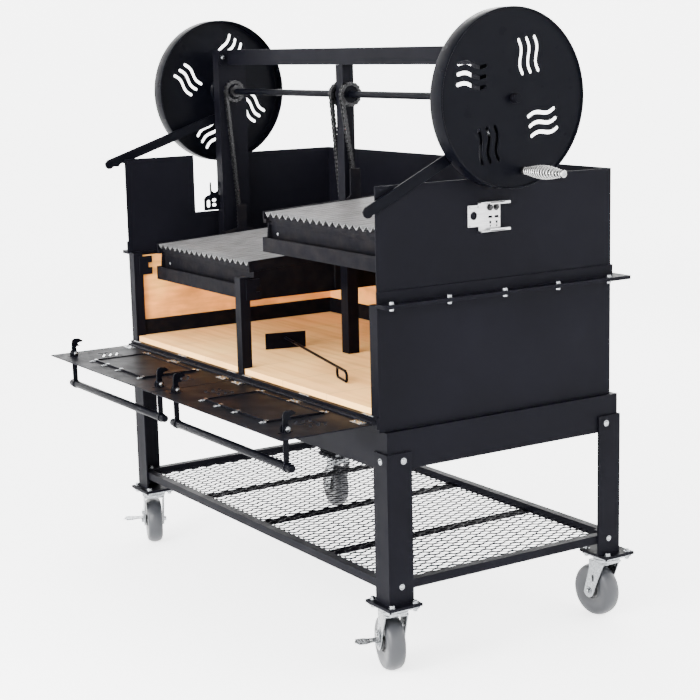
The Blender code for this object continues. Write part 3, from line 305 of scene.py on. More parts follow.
def board_joints(finish, pitch, width, axis):
    """0 on a joint line between boards laid side by side along the given axis, and 1 off it."""
    split = finish.node("ShaderNodeSeparateXYZ", Vector=finish.place).outputs[axis]
    scaled = finish.node("ShaderNodeMath")
    scaled.operation = "PINGPONG"
    finish.tree.links.new(split, scaled.inputs[0])
    scaled.inputs[1].default_value = pitch / 2
    return finish.node("ShaderNodeMapRange", Value=scaled.outputs[0], From_Max=width).outputs["Result"]


def clay_board():
    """Pressed clay board: a warm mottle, streaks and pores."""
    board = Finish("clay_board")
    base = colours().clay
    mottle = board.noise(7.0, 8.0)
    tint = board.ramp(mottle, [(0.25, shade(base, 0.62)), (0.5, base), (0.75, shade(base, 1.32))])
    grain = board.noise(1.0, 6.0, board.stretched((9.0, 9.0, 60.0)))
    streak = board.ramp(grain, [(0.35, (0.72, 0.68, 0.64)), (0.6, (1.0, 1.0, 1.0))])
    pores = board.node("ShaderNodeTexVoronoi", Vector=board.place, Scale=190.0).outputs["Distance"]
    board.relief((board.noise(45.0, 8.0), 0.35, 0.002), (pores, 0.12, 0.0008), edge=0.0015)
    tint = board.multiplied(tint, streak, 0.75)
    return board.done(Base_Color=tint, Roughness=board.spread(mottle, 0.78, 0.92))


def floor_slab():
    """Cast floor of cream slabs with fine joints, pale dust and small chips."""
    slab = Finish("floor_slab")
    base = colours().cream
    cloud = slab.noise(5.0, 8.0)
    tint = slab.ramp(cloud, [(0.25, shade(base, 0.74)), (0.5, base), (0.75, shade(base, 1.12))])
    joints = board_joints(slab, 0.232, 0.0016, "X")
    mixed = slab.node("ShaderNodeMix")
    mixed.data_type = "RGBA"
    slab.tree.links.new(joints, mixed.inputs["Factor"])
    mixed.inputs["A"].default_value = (*shade(base, 0.45), 1.0)
    slab.tree.links.new(tint, mixed.inputs["B"])
    grain = slab.noise(1.0, 7.0, slab.stretched((2.4, 46.0, 46.0)))
    streak = slab.ramp(grain, [(0.34, (0.80, 0.66, 0.50)), (0.56, (1.0, 1.0, 1.0))])
    slab.relief((joints, 0.6, 0.001), (slab.noise(120.0, 6.0), 0.2, 0.001), edge=0.002)
    tint = slab.multiplied(mixed.outputs["Result"], streak, 0.6)
    return slab.done(Base_Color=tint, Roughness=slab.spread(cloud, 0.8, 0.93))


def tread_grey():
    rubber = Finish("tread_grey")
    base = colours().tread
    tint = rubber.ramp(rubber.noise(20.0, 5.0), [(0.3, shade(base, 0.86)), (0.7, shade(base, 1.12))])
    rubber.relief((rubber.noise(260.0, 4.0), 0.08, 0.0006))
    roughness = rubber.spread(rubber.noise(70.0, 4.0), 0.34, 0.48)
    return rubber.done(Base_Color=tint, Roughness=roughness, Specular_IOR_Level=0.3)


def hub_black():
    plastic = Finish("hub_black")
    grain = plastic.noise(500.0, 3.0)
    tint = plastic.ramp(grain, [(0.3, (0.012, 0.012, 0.013)), (0.7, (0.03, 0.03, 0.031))])
    plastic.relief((grain, 0.15, 0.0003), edge=0.0008)
    return plastic.done(Base_Color=tint, Roughness=plastic.spread(grain, 0.4, 0.55))


def studio_paper():
    """The floor's pale paper, which glows a little."""
    paper = Finish("studio_paper")
    grain = paper.noise(2.0, 2.0)
    tint = paper.ramp(grain, [(0.2, (0.92, 0.92, 0.92)), (0.8, (0.95, 0.95, 0.95))])
    return paper.done(
        Base_Color=tint,
        Roughness=0.8,
        Specular_IOR_Level=0.1,
        Emission_Color=(1.0, 1.0, 1.0, 1.0),
        Emission_Strength=bpy.context.scene.grill_studio.glow,
    )


FINISHES = {}


def finish(name):
    """A finish by its function's name, made once."""
    makers = [powder_coat, wheel_enamel, band_black, grate_steel, bracket_steel, zinc_plate, grip_nickel]
    makers += [chain_steel, clay_board, floor_slab, tread_grey, hub_black, studio_paper]
    if name not in FINISHES:
        FINISHES[name] = {maker.__name__: maker for maker in makers}[name]()
    return FINISHES[name]


# Shapes


def add_block(shape, low, high):
    low = Vector(low)
    high = Vector(high)
    centre = (low + high) / 2
    size = high - low
    place = Matrix.Translation(centre) @ Matrix.Diagonal((abs(size.x), abs(size.y), abs(size.z), 1.0))
    bmesh.ops.create_cube(shape, size=1.0, matrix=place)


def towards(direction):
    return Vector(direction).to_track_quat("Z", "Y").to_matrix().to_4x4()


def add_rod(shape, start, end, radius, segments, end_radius=None):
    """A rod from start to end, which tapers if its end has a radius of its own."""
    start = Vector(start)
    end = Vector(end)
    bmesh.ops.create_cone(
        shape,
        cap_ends=True,
        segments=segments,
        radius1=radius,
        radius2=end_radius or radius,
        depth=(end - start).length,
        matrix=Matrix.Translation((start + end) / 2) @ towards(end - start),
    )


def add_turned(shape, profile, origin, axis, steps, closed=True, capped=True):
    """Turns (radius, distance) points about an axis. A closed profile joins its last point to its first."""
    place = Matrix.Translation(origin) @ towards(axis)
    rings = []
    for i in range(steps):
        turn = math.tau * i / steps
        ring = [place @ Vector((r * math.cos(turn), r * math.sin(turn), along)) for r, along in profile]
        rings.append([shape.verts.new(point) for point in ring])
    count = len(profile)
    last = count if closed and capped else count - 1
    made = []
    for i in range(steps):
        near = rings[i]
        far = rings[(i + 1) % steps]
        for j in range(last):
            k = (j + 1) % count
            made.append(shape.faces.new((near[j], near[k], far[k], far[j])))
    if capped and not closed:
        made.append(shape.faces.new([ring[0] for ring in rings]))
        made.append(shape.faces.new([ring[-1] for ring in reversed(rings)]))
    bmesh.ops.recalc_face_normals(shape, faces=made)


# A bolt's sizes, as shares of its head's radius
WASHER_R = 1.45
WASHER_RISE = 0.22
HEAD_R = 1.06
HEAD_RISE = 0.85
CHAMFER_R = 0.8
CHAMFER_RISE = 0.16


def add_bolt(shape, at, out, radius, washer=True):
    """A washer and a hexagon head with its chamfer, sunk a little into what they stand on."""
    at = Vector(at)
    out = Vector(out).normalized()
    base = at
    if washer:
        base = at + out * radius * WASHER_RISE
        add_rod(shape, at - out * 0.0006, base, radius * WASHER_R, 24)
    top = base + out * radius * HEAD_RISE
    add_rod(shape, base - out * 0.0002, top, radius * HEAD_R, 6)
    add_rod(shape, top, top + out * radius * CHAMFER_RISE, radius * HEAD_R, 6, radius * CHAMFER_R)


def add_dome(shape, at, out, radius):
    """A carriage bolt's low round head on its washer."""
    at = Vector(at)
    out = Vector(out).normalized()
    add_rod(shape, at - out * 0.0005, at + out * radius * 0.2, radius * 1.35, 24)
    profile = [(radius * math.cos(a), radius * (0.2 + 0.55 * math.sin(a))) for a in (0.0, 0.4, 0.8, 1.2)]
    add_turned(shape, profile + [(radius * 0.05, radius * 0.75)], at, out, 20, closed=False)


def add_tube(shape, path, radius, cyclic=False, resolution=3):
    """A round wire along a path."""
    curve = bpy.data.curves.new("wire", "CURVE")
    curve.dimensions = "3D"
    curve.bevel_depth = radius
    curve.bevel_resolution = resolution
    curve.use_fill_caps = True
    add_curve(shape, curve, [path], cyclic)


def add_curve(shape, curve, paths, cyclic, place=None):
    """The curve's thickened paths as mesh."""
    for path in paths:
        spline = curve.splines.new("POLY")
        spline.points.add(len(path) - 1)
        for point, co in zip(spline.points, path):
            point.co = (*Vector(co).to_3d(), 1.0)
        spline.use_cyclic_u = cyclic
    drawn = bpy.data.objects.new("drawn", curve)
    bpy.context.scene.collection.objects.link(drawn)
    bpy.context.view_layer.update()
    mesh = bpy.data.meshes.new_from_object(drawn.evaluated_get(bpy.context.evaluated_depsgraph_get()))
    bpy.data.objects.remove(drawn)
    before = set(shape.verts)
    shape.from_mesh(mesh)
    fresh = [v for v in shape.verts if v not in before]
    bmesh.ops.remove_doubles(shape, verts=fresh, dist=0.000001)
    if place is not None:
        fresh = [v for v in shape.verts if v not in before]
        bmesh.ops.transform(shape, matrix=place, verts=fresh)


PLANES = {  # columns are where the outline's across, up and thickness directions go
    "XY": Matrix(((1, 0, 0), (0, 1, 0), (0, 0, 1))).to_4x4(),
    "YZ": Matrix(((0, 0, 1), (1, 0, 0), (0, 1, 0))).to_4x4(),
    "XZ": Matrix(((1, 0, 0), (0, 0, -1), (0, 1, 0))).to_4x4(),
}


def add_plate(shape, outline, span, plane="YZ", holes=(), round_edge=0.0):
    """A flat plate with holes, thick over the span of its plane's third axis."""
    curve = bpy.data.curves.new("outline", "CURVE")
    curve.dimensions = "2D"
    curve.fill_mode = "BOTH"
    curve.extrude = abs(span[1] - span[0]) / 2 - round_edge
    curve.bevel_depth = round_edge
    curve.bevel_resolution = 0
    curve.offset = -round_edge
    middle = (span[0] + span[1]) / 2 * (-1 if plane == "XZ" else 1)
    place = PLANES[plane] @ Matrix.Translation((0, 0, middle))
    add_curve(shape, curve, (outline, *holes), True, place)


def arc(centre, radius, start, end, steps):
    """Points along an arc between two angles in degrees."""
    angles = [math.radians(start + (end - start) * i / steps) for i in range(steps + 1)]
    return [(centre[0] + radius * math.cos(a), centre[1] + radius * math.sin(a)) for a in angles]


def circle(centre, radius, steps):
    return arc(centre, radius, 0, 360 - 360 / steps, steps - 1)


def rounded(across, up, radius, steps=5):
    """A rectangle with round corners."""
    x0, x1 = sorted(across)
    y0, y1 = sorted(up)
    outline = arc((x1 - radius, y1 - radius), radius, 0, 90, steps)
    outline += arc((x0 + radius, y1 - radius), radius, 90, 180, steps)
    outline += arc((x0 + radius, y0 + radius), radius, 180, 270, steps)
    outline += arc((x1 - radius, y0 + radius), radius, 270, 360, steps)
    return outline


def moved(points, place):
    """Outline points, moved so that their zero stands at the given place."""
    return [(place[0] + across, place[1] + up) for across, up in points]


def wave_slot(centre, length, width, angle, steps=16):
    """An S-shaped slot of one width with round ends."""
    sway = 0.06  # how far the slot's line leaves a straight line, as a share of its length
    left = []
    right = []
    for i in range(steps + 1):
        share = i / steps
        middle = Vector((length * (share - 0.5), sway * length * math.sin(math.tau * share)))
        along = Vector((1.0, sway * math.tau * math.cos(math.tau * share))).normalized()
        out = Vector((-along.y, along.x)) * width / 2
        left.append(middle + out)
        right.append(middle - out)
    lean = math.degrees(math.atan(sway * math.tau))
    reach = length / 2
    far = [Vector(point) for point in arc((reach, 0), width / 2, lean - 70, lean + 70, 5)]
    near = [Vector(point) for point in arc((-reach, 0), width / 2, lean + 110, lean + 250, 5)]
    turn = Matrix.Rotation(angle, 2)
    return moved([turn @ point for point in right + far + left[::-1] + near], centre)


def fit(name, shape, finish_name, body, replaces=(), smooth=35.0, edge=0.0):
    """Makes the piece from its shape, gives it its finish and lets it ride on its body."""
    mesh = bpy.data.meshes.new(name)
    shape.to_mesh(mesh)
    shape.free()
    piece = bpy.data.objects.new(name, mesh)
    bpy.context.scene.collection.objects.link(piece)
    mesh.materials.append(finish(finish_name))
    if smooth:
        mesh.shade_smooth()
        mesh.set_sharp_from_angle(angle=math.radians(smooth))
    if edge:
        bevel = piece.modifiers.new("Soft edges", "BEVEL")
        bevel.width = edge
        bevel.segments = 2
        bevel.limit_method = "ANGLE"
        bevel.angle_limit = math.radians(40)
    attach(piece, body)
    if replaces:
        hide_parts(*replaces)
    return piece


def coat_node(name, finish_name):
    node = frame["nodes"][name]
    node.data.materials.clear()
    node.data.materials.append(finish(finish_name))


# Pieces


class GRILL_OT_frame_finishes(Operator):
    """Gives every part of the frame that stays in sight its finish"""

    bl_idname = "grill.frame_finishes"
    bl_label = "Frame finishes"

    BY_SLOT = {
        "black": "powder_coat",
        "satin": "wheel_enamel",
        "stainless": "grate_steel",
        "nickel": "grip_nickel",
        "zinc": "zinc_plate",
        "wheel": "tread_grey",
        "clay": "clay_board",
        "cream": "floor_slab",
        "chain": "chain_steel",
    }
    SMOKED = ("lining_band", "grate_tray_left", "grate_tray_right", "carriage_left", "carriage_right")

    def execute(self, context):
        for subpart in frame["record"]["subparts"]:
            coat_node(subpart["node"], self.BY_SLOT[subpart["material_slot"]])
        for name in self.SMOKED:
            coat_node(name, "band_black")
        coat_node("spit_motor_bracket", "bracket_steel")
        return {"FINISHED"}


class GRILL_OT_shelf_mesh(Operator):
    """Expanded metal on the shelf, made of zigzag strands that meet at their knuckles"""

    bl_idname = "grill.shelf_mesh"
    bl_label = "Shelf mesh"

    # How far each step along an opening stands from the strand's line, as a share of the swing
    KNUCKLES = (0.5, 0.36, -0.36, -0.5, -0.5, -0.36, 0.36, 0.5)
    OVERLAP = 0.6  # share of a strand's width by which neighbours meet
    TILT = 0.0005

    def execute(self, context):
        low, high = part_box("shelf_mesh")
        rows = round((high.x - low.x) / (sizes().mesh_short / 2))
        steps = round((high.y - low.y) / (sizes().mesh_long / len(self.KNUCKLES)))
        pitch = (high.x - low.x) / rows
        swing = pitch - sizes().strand * self.OVERLAP
        shape = bmesh.new()
        for row in range(rows):
            x = low.x + pitch * (row + 0.5)
            self.strand(shape, x, 1 if row % 2 else -1, (low, high), steps, swing)
        fit("expanded_mesh", shape, "powder_coat", "cart", replaces=["shelf_mesh"], smooth=0)
        return {"FINISHED"}

    def strand(self, shape, x, lean, box, steps, swing):
        """One zigzag strand from front to back, tipped a little as the press leaves it."""
        low, high = box
        half = sizes().strand / 2
        tilt = self.TILT * lean
        bottom = low.z + abs(tilt)
        top = high.z - abs(tilt)
        rest = None
        for i in range(steps + 1):
            y = low.y + (high.y - low.y) * i / steps
            middle = x + lean * self.KNUCKLES[i % len(self.KNUCKLES)] * swing
            corners = [(middle - half, y, bottom + tilt), (middle + half, y, bottom - tilt)]
            corners += [(middle + half, y, top - tilt), (middle - half, y, top + tilt)]
            ring = [shape.verts.new(corner) for corner in corners]
            if rest:
                for a, b in ((0, 1), (1, 2), (2, 3), (3, 0)):
                    shape.faces.new((rest[a], ring[a], ring[b], rest[b]))
            else:
                shape.faces.new(ring)
            rest = ring
        shape.faces.new(rest[::-1])


class GRILL_OT_chains(Operator):
    """Roller chains from the carriages' clips up round their toothed sprockets"""

    bl_idname = "grill.chains"
    bl_label = "Chains and sprockets"

    LOOP_R = 0.031
    LOOP_TURN = 350
    CLIP_BACK = 0.002
    PLATE_R = 0.0057
    WAIST = 0.0040
    PIN_R = 0.0019
    ROLLER = (0.0040, 0.0037)  # radius and half width
    PLATES = (0.0047, 0.0062)  # how far out the inner and outer links' plates stand
    PLATE_HALF = 0.0007
    TEETH = 15
    ROOT_R = LOOP_R - 0.0045
    TIP_R = LOOP_R + 0.0034
    RIM_HALF = 0.0012
    COLLAR_AT = 0.0055
    COLLAR = ((0.0101, 0.0), (0.019, 0.0), (0.019, 0.013), (0.0101, 0.013))

    def execute(self, context):
        for name, side in SIDES:
            for place in STRANDS:
                self.chain(name, place)
            self.sprockets(name, side)
        return {"FINISHED"}

    def path(self, low_end, clip_z):
        """The chain's centreline as (y, z) points, from its low end round the sprocket."""
        shaft = Vector(SHAFT)
        clip = Vector((SHAFT_Y + self.CLIP_BACK, clip_z))
        down = clip - shaft
        lean = math.degrees(math.acos(self.LOOP_R / down.length))
        leaves = math.degrees(math.atan2(down.y, down.x)) - lean
        wrap = [Vector(point) for point in arc(shaft, self.LOOP_R, leaves, leaves - self.LOOP_TURN, 70)]
        return [Vector((clip.x, low_end)), clip, *wrap]

    def chain(self, name, place):
        low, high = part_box(f"chain_{name}_{place}")
        x = (low.x + high.x) / 2
        points = self.path(low.z + self.PLATE_R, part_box(f"carriage_{name}")[1].z)
        pins = self.spaced(points, sizes().chain_pitch)
        shape = bmesh.new()
        for i, (start, end) in enumerate(zip(pins, pins[1:])):
            for side in (-1, 1):
                self.link_plate(shape, x + side * self.PLATES[i % 2], start, end)
        roller_r, roller_half = self.ROLLER
        tips = self.PLATES[1] + self.PLATE_HALF * 2
        for at in pins:
            add_rod(shape, (x - roller_half, *at), (x + roller_half, *at), roller_r, 12)
            add_rod(shape, (x - tips, *at), (x + tips, *at), self.PIN_R, 8)
        replaced = [f"chain_{name}_{place}"]
        fit(f"roller_chain_{name}_{place}", shape, "chain_steel", "cart", replaces=replaced)

    @staticmethod
    def spaced(points, pitch):
        """Points one pitch apart along a path."""
        found = []
        wait = 0.0
        for start, end in zip(points, points[1:]):
            length = (end - start).length
            while wait <= length:
                found.append(start.lerp(end, wait / length))
                wait += pitch
            wait -= length
        return found

    def link_plate(self, shape, x, start, end):
        """A waisted side plate from pin to pin."""
        reach = end - start
        across = Vector((-reach.y, reach.x)).normalized() * self.WAIST
        heading = math.degrees(math.atan2(reach.y, reach.x))
        middle = (start + end) / 2
        outline = [Vector(point) for point in arc(start, self.PLATE_R, heading + 60, heading + 300, 6)]
        outline.append(middle - across)
        outline += [Vector(point) for point in arc(end, self.PLATE_R, heading - 120, heading + 120, 6)]
        outline.append(middle + across)
        near = [shape.verts.new((x - self.PLATE_HALF, *point)) for point in outline]
        far = [shape.verts.new((x + self.PLATE_HALF, *point)) for point in outline]
        shape.faces.new(near[::-1])
        shape.faces.new(far)
        for i in range(len(outline)):
            k = (i + 1) % len(outline)
            shape.faces.new((near[i], near[k], far[k], far[i]))

    def sprockets(self, name, side):
        """Toothed rims on both sprockets and a collar with its grub screw beside each."""
        tooth = ((-0.30, self.ROOT_R), (-0.12, self.TIP_R), (0.12, self.TIP_R), (0.30, self.ROOT_R))
        outline = []
        for i in range(self.TEETH):
            for share, radius in tooth:
                angle = math.tau * (i + share) / self.TEETH
                outline.append((SHAFT_Y + radius * math.cos(angle), SHAFT_Z + radius * math.sin(angle)))
        shape = bmesh.new()
        for place in STRANDS:
            low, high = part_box(f"chain_{name}_{place}")
            x = (low.x + high.x) / 2
            span = (x - self.RIM_HALF, x + self.RIM_HALF)
            add_plate(shape, outline, span, holes=[circle(SHAFT, 0.0104, 24)])
            face = x - side * self.COLLAR_AT
            add_turned(shape, self.COLLAR, (face, *SHAFT), (-side, 0, 0), 40)
            screw = (face - side * 0.0065, SHAFT_Y, SHAFT_Z + 0.0185)
            add_bolt(shape, screw, (0, 0, 1), 0.0032, washer=False)
        fit(f"sprocket_teeth_{name}", shape, "chain_steel", f"winch_{name}")


class GRILL_OT_hand_wheels(Operator):
    """Dished hand wheels with rolled rims, wave slots, hubs and coil grips"""

    bl_idname = "grill.hand_wheels"
    bl_label = "Hand wheels and grips"

    # For each side, the middle of every group of three slots from the shaft, and its turn in degrees
    SLOTS = {
        1: ((0.052, 0.108, 98), (0.099, -0.065, 12), (-0.130, 0.062, -4), (-0.079, -0.116, 98)),
        -1: ((-0.109, 0.040, -48), (0.050, 0.133, 55), (0.130, -0.058, -48), (-0.030, -0.140, 38)),
    }
    SLOT_STEP = 0.026
    SLOT_SIZE = (0.086, 0.0098)
    DEPTH = 0.049
    WALL = 0.0044
    LIP = 0.0016
    DISC = (0.010, 0.006)  # the disc's two faces, inwards from the rim's outer edge
    AROUND = 160
    BORE_R = 0.0103
    HUB = ((BORE_R, 0.0), (0.0225, 0.0), (0.025, 0.002), (0.025, 0.021), (BORE_R, 0.021))
    CAP_LENGTH = 0.0184
    CAP = ((0.0104, 0.0), (0.0125, 0.001), (0.0125, 0.0155), (0.011, 0.0175), (0.006, CAP_LENGTH))
    PIN_R = 0.0049
    PIN_ENDS = (-0.008, 0.1625)  # from the rim's outer edge
    NUT = ((0.0045, -0.003), (0.0072, -0.003), (0.0072, -0.0008), (0.005, 0.0))
    FERRULE = 0.007
    CUFF = ((0.0053, 0.0), (0.0088, 0.0), (0.0098, 0.001), (0.0098, FERRULE), (0.0053, FERRULE))
    COIL_END_R = 0.0098
    COIL_SWELL = 1.3
    COIL_STEPS = 24

    def execute(self, context):
        for name, side in SIDES:
            self.wheel(name, side)
            self.cap(name, side)
            self.grip(name, side)
        return {"FINISHED"}

    def wheel(self, name, side):
        low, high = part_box(f"hand_wheel_{name}")
        radius = (high.z - low.z) / 2
        inner = min(abs(low.x), abs(high.x))
        outer = inner + self.DEPTH
        shape = bmesh.new()
        crest = radius - self.WALL / 2
        rim = [(radius - self.WALL, side * (inner + self.LIP))]
        rim += [(crest + across, side * (inner + self.LIP - along)) for across, along in self.roll()]
        rim += [(crest - across, side * (outer - self.LIP + along)) for across, along in self.roll()]
        add_turned(shape, rim, (0, *SHAFT), (1, 0, 0), self.AROUND)
        disc = circle(SHAFT, radius - self.WALL + 0.0006, self.AROUND)
        holes = [circle(SHAFT, self.BORE_R, 32), *self.slots(side)]
        face, back = (side * (outer - depth) for depth in self.DISC)
        add_plate(shape, disc, (min(face, back), max(face, back)), holes=holes, round_edge=0.0005)
        bead = circle(SHAFT, radius - self.WALL, self.AROUND)
        add_tube(shape, [(face - side * 0.0002, *point) for point in bead], 0.0024, cyclic=True, resolution=1)
        add_turned(shape, self.HUB, (side * (outer - 0.030), *SHAFT), (side, 0, 0), 48)
        screw = (side * (outer - 0.020), SHAFT_Y, SHAFT_Z + 0.0245)
        add_bolt(shape, screw, (0, 0, 1), 0.0035, washer=False)
        grip_low, grip_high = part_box(f"spring_grip_{name}")
        grip = ((grip_low.y + grip_high.y) / 2, (grip_low.z + grip_high.z) / 2)
        ends = [(side * (outer + reach), *grip) for reach in self.PIN_ENDS]
        add_rod(shape, *ends, self.PIN_R, 24)
        replaced = [f"hand_wheel_{name}"]
        body = f"winch_{name}"
        fit(f"dished_wheel_{name}", shape, "wheel_enamel", body, replaces=replaced, smooth=40)

    def roll(self):
        """Half the rim's round edge, as offsets across and along."""
        angles = [math.pi * (1 - i / 6) for i in range(7)]
        return [(self.WALL / 2 * math.cos(angle), self.LIP * math.sin(angle)) for angle in angles]

    def slots(self, side):
        found = []
        for y, z, degrees in self.SLOTS[side]:
            angle = math.radians(degrees)
            for step in (-1, 0, 1):
                across = SHAFT_Y + y - step * self.SLOT_STEP * math.sin(angle)
                up = SHAFT_Z + z + step * self.SLOT_STEP * math.cos(angle)
                found.append(wave_slot((across, up), *self.SLOT_SIZE, angle))
        return found

    def cap(self, name, side):
        shape = bmesh.new()
        start = side * (SHAFT_END - 0.001) - side * self.CAP_LENGTH
        add_turned(shape, self.CAP, (start, *SHAFT), (side, 0, 0), 40, closed=False)
        fit(f"shaft_cap_{name}", shape, "band_black", f"winch_{name}")

    def grip(self, name, side):
        """A coil grip that swells in the middle, with a ferrule at each end."""
        low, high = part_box(f"spring_grip_{name}")
        middle = ((low.y + high.y) / 2, (low.z + high.z) / 2)
        full = (high.y - low.y) / 2
        length = high.x - low.x
        wire = sizes().grip_wire / 2
        start = min(abs(low.x), abs(high.x))
        steps = sizes().grip_turns * self.COIL_STEPS
        path = []
        for i in range(steps + 1):
            share = i / steps
            swell = self.COIL_END_R - wire
            swell += (full - self.COIL_END_R) * math.sin(math.pi * share) ** self.COIL_SWELL
            angle = math.tau * i / self.COIL_STEPS
            x = side * (start + self.FERRULE + (length - 2 * self.FERRULE) * share)
            path.append((x, middle[0] + swell * math.cos(angle), middle[1] + swell * math.sin(angle)))
        shape = bmesh.new()
        add_tube(shape, path, wire)
        for at, out in ((start, 1), (start + length, -1)):
            add_turned(shape, self.CUFF, (side * at, *middle), (side * out, 0, 0), 32)
        body = f"grip_{name}"
        replaced = [f"spring_grip_{name}"]
        fit(f"coil_grip_{name}", shape, "grip_nickel", body, replaces=replaced, smooth=60)
        nut = bmesh.new()
        tip = side * (start + length - 0.0003)
        add_turned(nut, self.NUT, (tip, *middle), (side, 0, 0), 24, closed=False)
        fit(f"grip_nut_{name}", nut, "zinc_plate", body)


class GRILL_OT_casters(Operator):
    """Caster wheels, pressed forks, swivel races, axles, plates and side brakes"""

    bl_idname = "grill.casters"
    bl_label = "Casters"

    # Half profiles of the wheel and its hub, as (radius, distance along the axle)
    TREAD = ((0.0285, -0.0205), (0.034, -0.0225), (0.050, -0.0244), (0.062, -0.0246), (0.0685, -0.0225))
    CROWN_HALF = 0.0175
    CROWN_DROP = 0.0035
    HUB = (
        (0.0065, 0.0275), (0.0175, 0.0275), (0.019, 0.026), (0.019, 0.0165), (0.0235, 0.0165),
        (0.0255, 0.0215), (0.0288, 0.0215),
    )
    # The fork's leg above the axle, from the swivel's axis, and what turns about that axis
    FORK_TOP = ((0.038, 0.146), (0.040, 0.171), (-0.022, 0.171), (-0.014, 0.152))
    FORK_SPAN = (0.0297, 0.0333)
    RACE = (
        (0.014, 0.1715), (0.0365, 0.1715), (0.0385, 0.174), (0.0385, 0.180), (0.0365, 0.1825),
        (0.014, 0.1825),
    )
    CUP = ((0.014, 0.1832), (0.0405, 0.1832), (0.042, 0.185), (0.042, 0.1884), (0.014, 0.1884))
    PLATE_HALF = (0.0525, 0.0475)
    BOLTS_HALF = (0.0455, 0.0365)
    BOLTS_UP = 0.0143
    # The side brake's arm and the two ends of its tread plate, beside the fork
    ARM = ((0.021, 0.112), (0.021, 0.090), (0.026, 0.0842), (0.045, 0.0842), (0.050, 0.090), (0.046, 0.112))
    PEDAL_NEAR = ((0.021, 0.037), (0.050, 0.037), (0.050, 0.060), (0.056, 0.072), (0.056, 0.094))
    PEDAL_FAR = ((0.014, 0.094), (0.014, 0.072), (0.021, 0.060))
    RIBS = (0.074, 0.082, 0.090)

    def execute(self, context):
        for name, side, row in CORNERS:
            swivel = joint_at(f"swivel_{name}_turn")
            axle = joint_at(f"roller_{name}_spin")
            trail = (axle - swivel).to_2d()
            place = Matrix.Translation((swivel.x, swivel.y, 0))
            place @= Matrix.Rotation(math.atan2(trail.y, trail.x), 4, "Z")
            self.wheel(name, place, trail.length, axle.z)
            self.fork(name, place, trail.length, axle.z)
            self.plate(name, swivel)
            if row < 0:
                self.pedal(name, place)
        return {"FINISHED"}

    def wheel(self, name, place, trail, radius):
        body = f"roller_{name}"
        outline = list(self.TREAD)
        for i in range(-6, 7):
            outline.append((radius - self.CROWN_DROP * (i / 6) ** 2, self.CROWN_HALF * i / 6))
        outline += [(r, -along) for r, along in reversed(self.TREAD)]
        shape = bmesh.new()
        add_turned(shape, outline, (trail, 0, radius), (0, 1, 0), 96)
        shape.transform(place)
        replaced = [f"caster_wheel_{name}"]
        fit(f"tread_{name}", shape, "tread_grey", body, replaces=replaced, smooth=50)
        hub = bmesh.new()
        web = [(r, -along) for r, along in self.HUB] + list(reversed(self.HUB))
        add_turned(hub, web, (trail, 0, radius), (0, 1, 0), 72)
        hub.transform(place)
        fit(f"hub_{name}", hub, "hub_black", body, edge=0.0005)

    def fork(self, name, place, trail, radius):
        """Pressed legs that flare to the crown, the two races, the axle bolt and its nut."""
        shape = bmesh.new()
        outline = [*arc((trail, radius), 0.0195, 200, 345, 10), *self.FORK_TOP]
        slit = rounded((0.0185, 0.0265), (0.108, 0.128), 0.0035)
        for side in (-1, 1):
            span = sorted(side * reach for reach in self.FORK_SPAN)
            add_plate(shape, outline, span, "XZ", holes=[slit], round_edge=0.0006)
        face = self.FORK_SPAN[1]
        crown = rounded((-0.030, 0.042), (-face, face), 0.008)
        add_plate(shape, crown, (0.168, 0.1725), "XY", round_edge=0.001)
        for profile in (self.RACE, self.CUP):
            add_turned(shape, profile, (0, 0, 0), (0, 0, 1), 56)
        add_rod(shape, (0, 0, 0.163), (0, 0, 0.1685), 0.011, 6)
        for side in (-1, 1):
            add_rod(shape, (trail, side * face, radius), (trail, side * 0.0347, radius), 0.0125, 28)
            add_bolt(shape, (trail, side * 0.0346, radius), (0, side, 0), 0.0075, washer=False)
        shape.transform(place)
        replaced = [f"caster_fork_{name}"]
        fit(f"fork_{name}", shape, "zinc_plate", f"swivel_{name}", replaces=replaced, edge=0.0004)

    def plate(self, name, swivel):
        """The caster's own plate below the cart's base plate, with its four bolts."""
        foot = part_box(f"leg_{name}")[0].z
        half_x, half_y = self.PLATE_HALF
        across = (swivel.x - half_x, swivel.x + half_x)
        along = (swivel.y - half_y, swivel.y + half_y)
        shape = bmesh.new()
        span = (foot - 0.0002, foot + 0.0058)
        add_plate(shape, rounded(across, along, 0.007), span, "XY", round_edge=0.0008)
        head = sizes().bolt_head
        for x in (-self.BOLTS_HALF[0], self.BOLTS_HALF[0]):
            for y in (-self.BOLTS_HALF[1], self.BOLTS_HALF[1]):
                add_bolt(shape, (swivel.x + x, swivel.y + y, foot + self.BOLTS_UP), (0, 0, 1), head)
                add_bolt(shape, (swivel.x + x, swivel.y + y, foot - 0.0001), (0, 0, -1), head)
        fit(f"caster_plate_{name}", shape, "zinc_plate", "cart", edge=0.0003)

    def pedal(self, name, place):
        """The side brake: a pressed arm on the fork, a ribbed tread plate and its pivot rivet."""
        shape = bmesh.new()
        add_plate(shape, self.ARM, (0.0346, 0.0378), "XZ", round_edge=0.0005)
        outline = [*self.PEDAL_NEAR, *arc((0.035, 0.086), 0.0145, 40, 140, 6), *self.PEDAL_FAR]
        hole = circle((0.035, 0.056), 0.0042, 16)
        add_plate(shape, outline, (0.0865, 0.0895), "XY", holes=[hole], round_edge=0.0005)
        for y in self.RIBS:
            add_rod(shape, (0.018, y, 0.0893), (0.052, y, 0.0893), 0.0014, 10)
        add_rod(shape, (0.035, 0.0375, 0.1045), (0.035, 0.0405, 0.1045), 0.0055, 20)
        shape.transform(place)
        replaced = [f"brake_pedal_{name}"]
        fit(f"side_brake_{name}", shape, "zinc_plate", f"pedal_{name}", replaces=replaced)


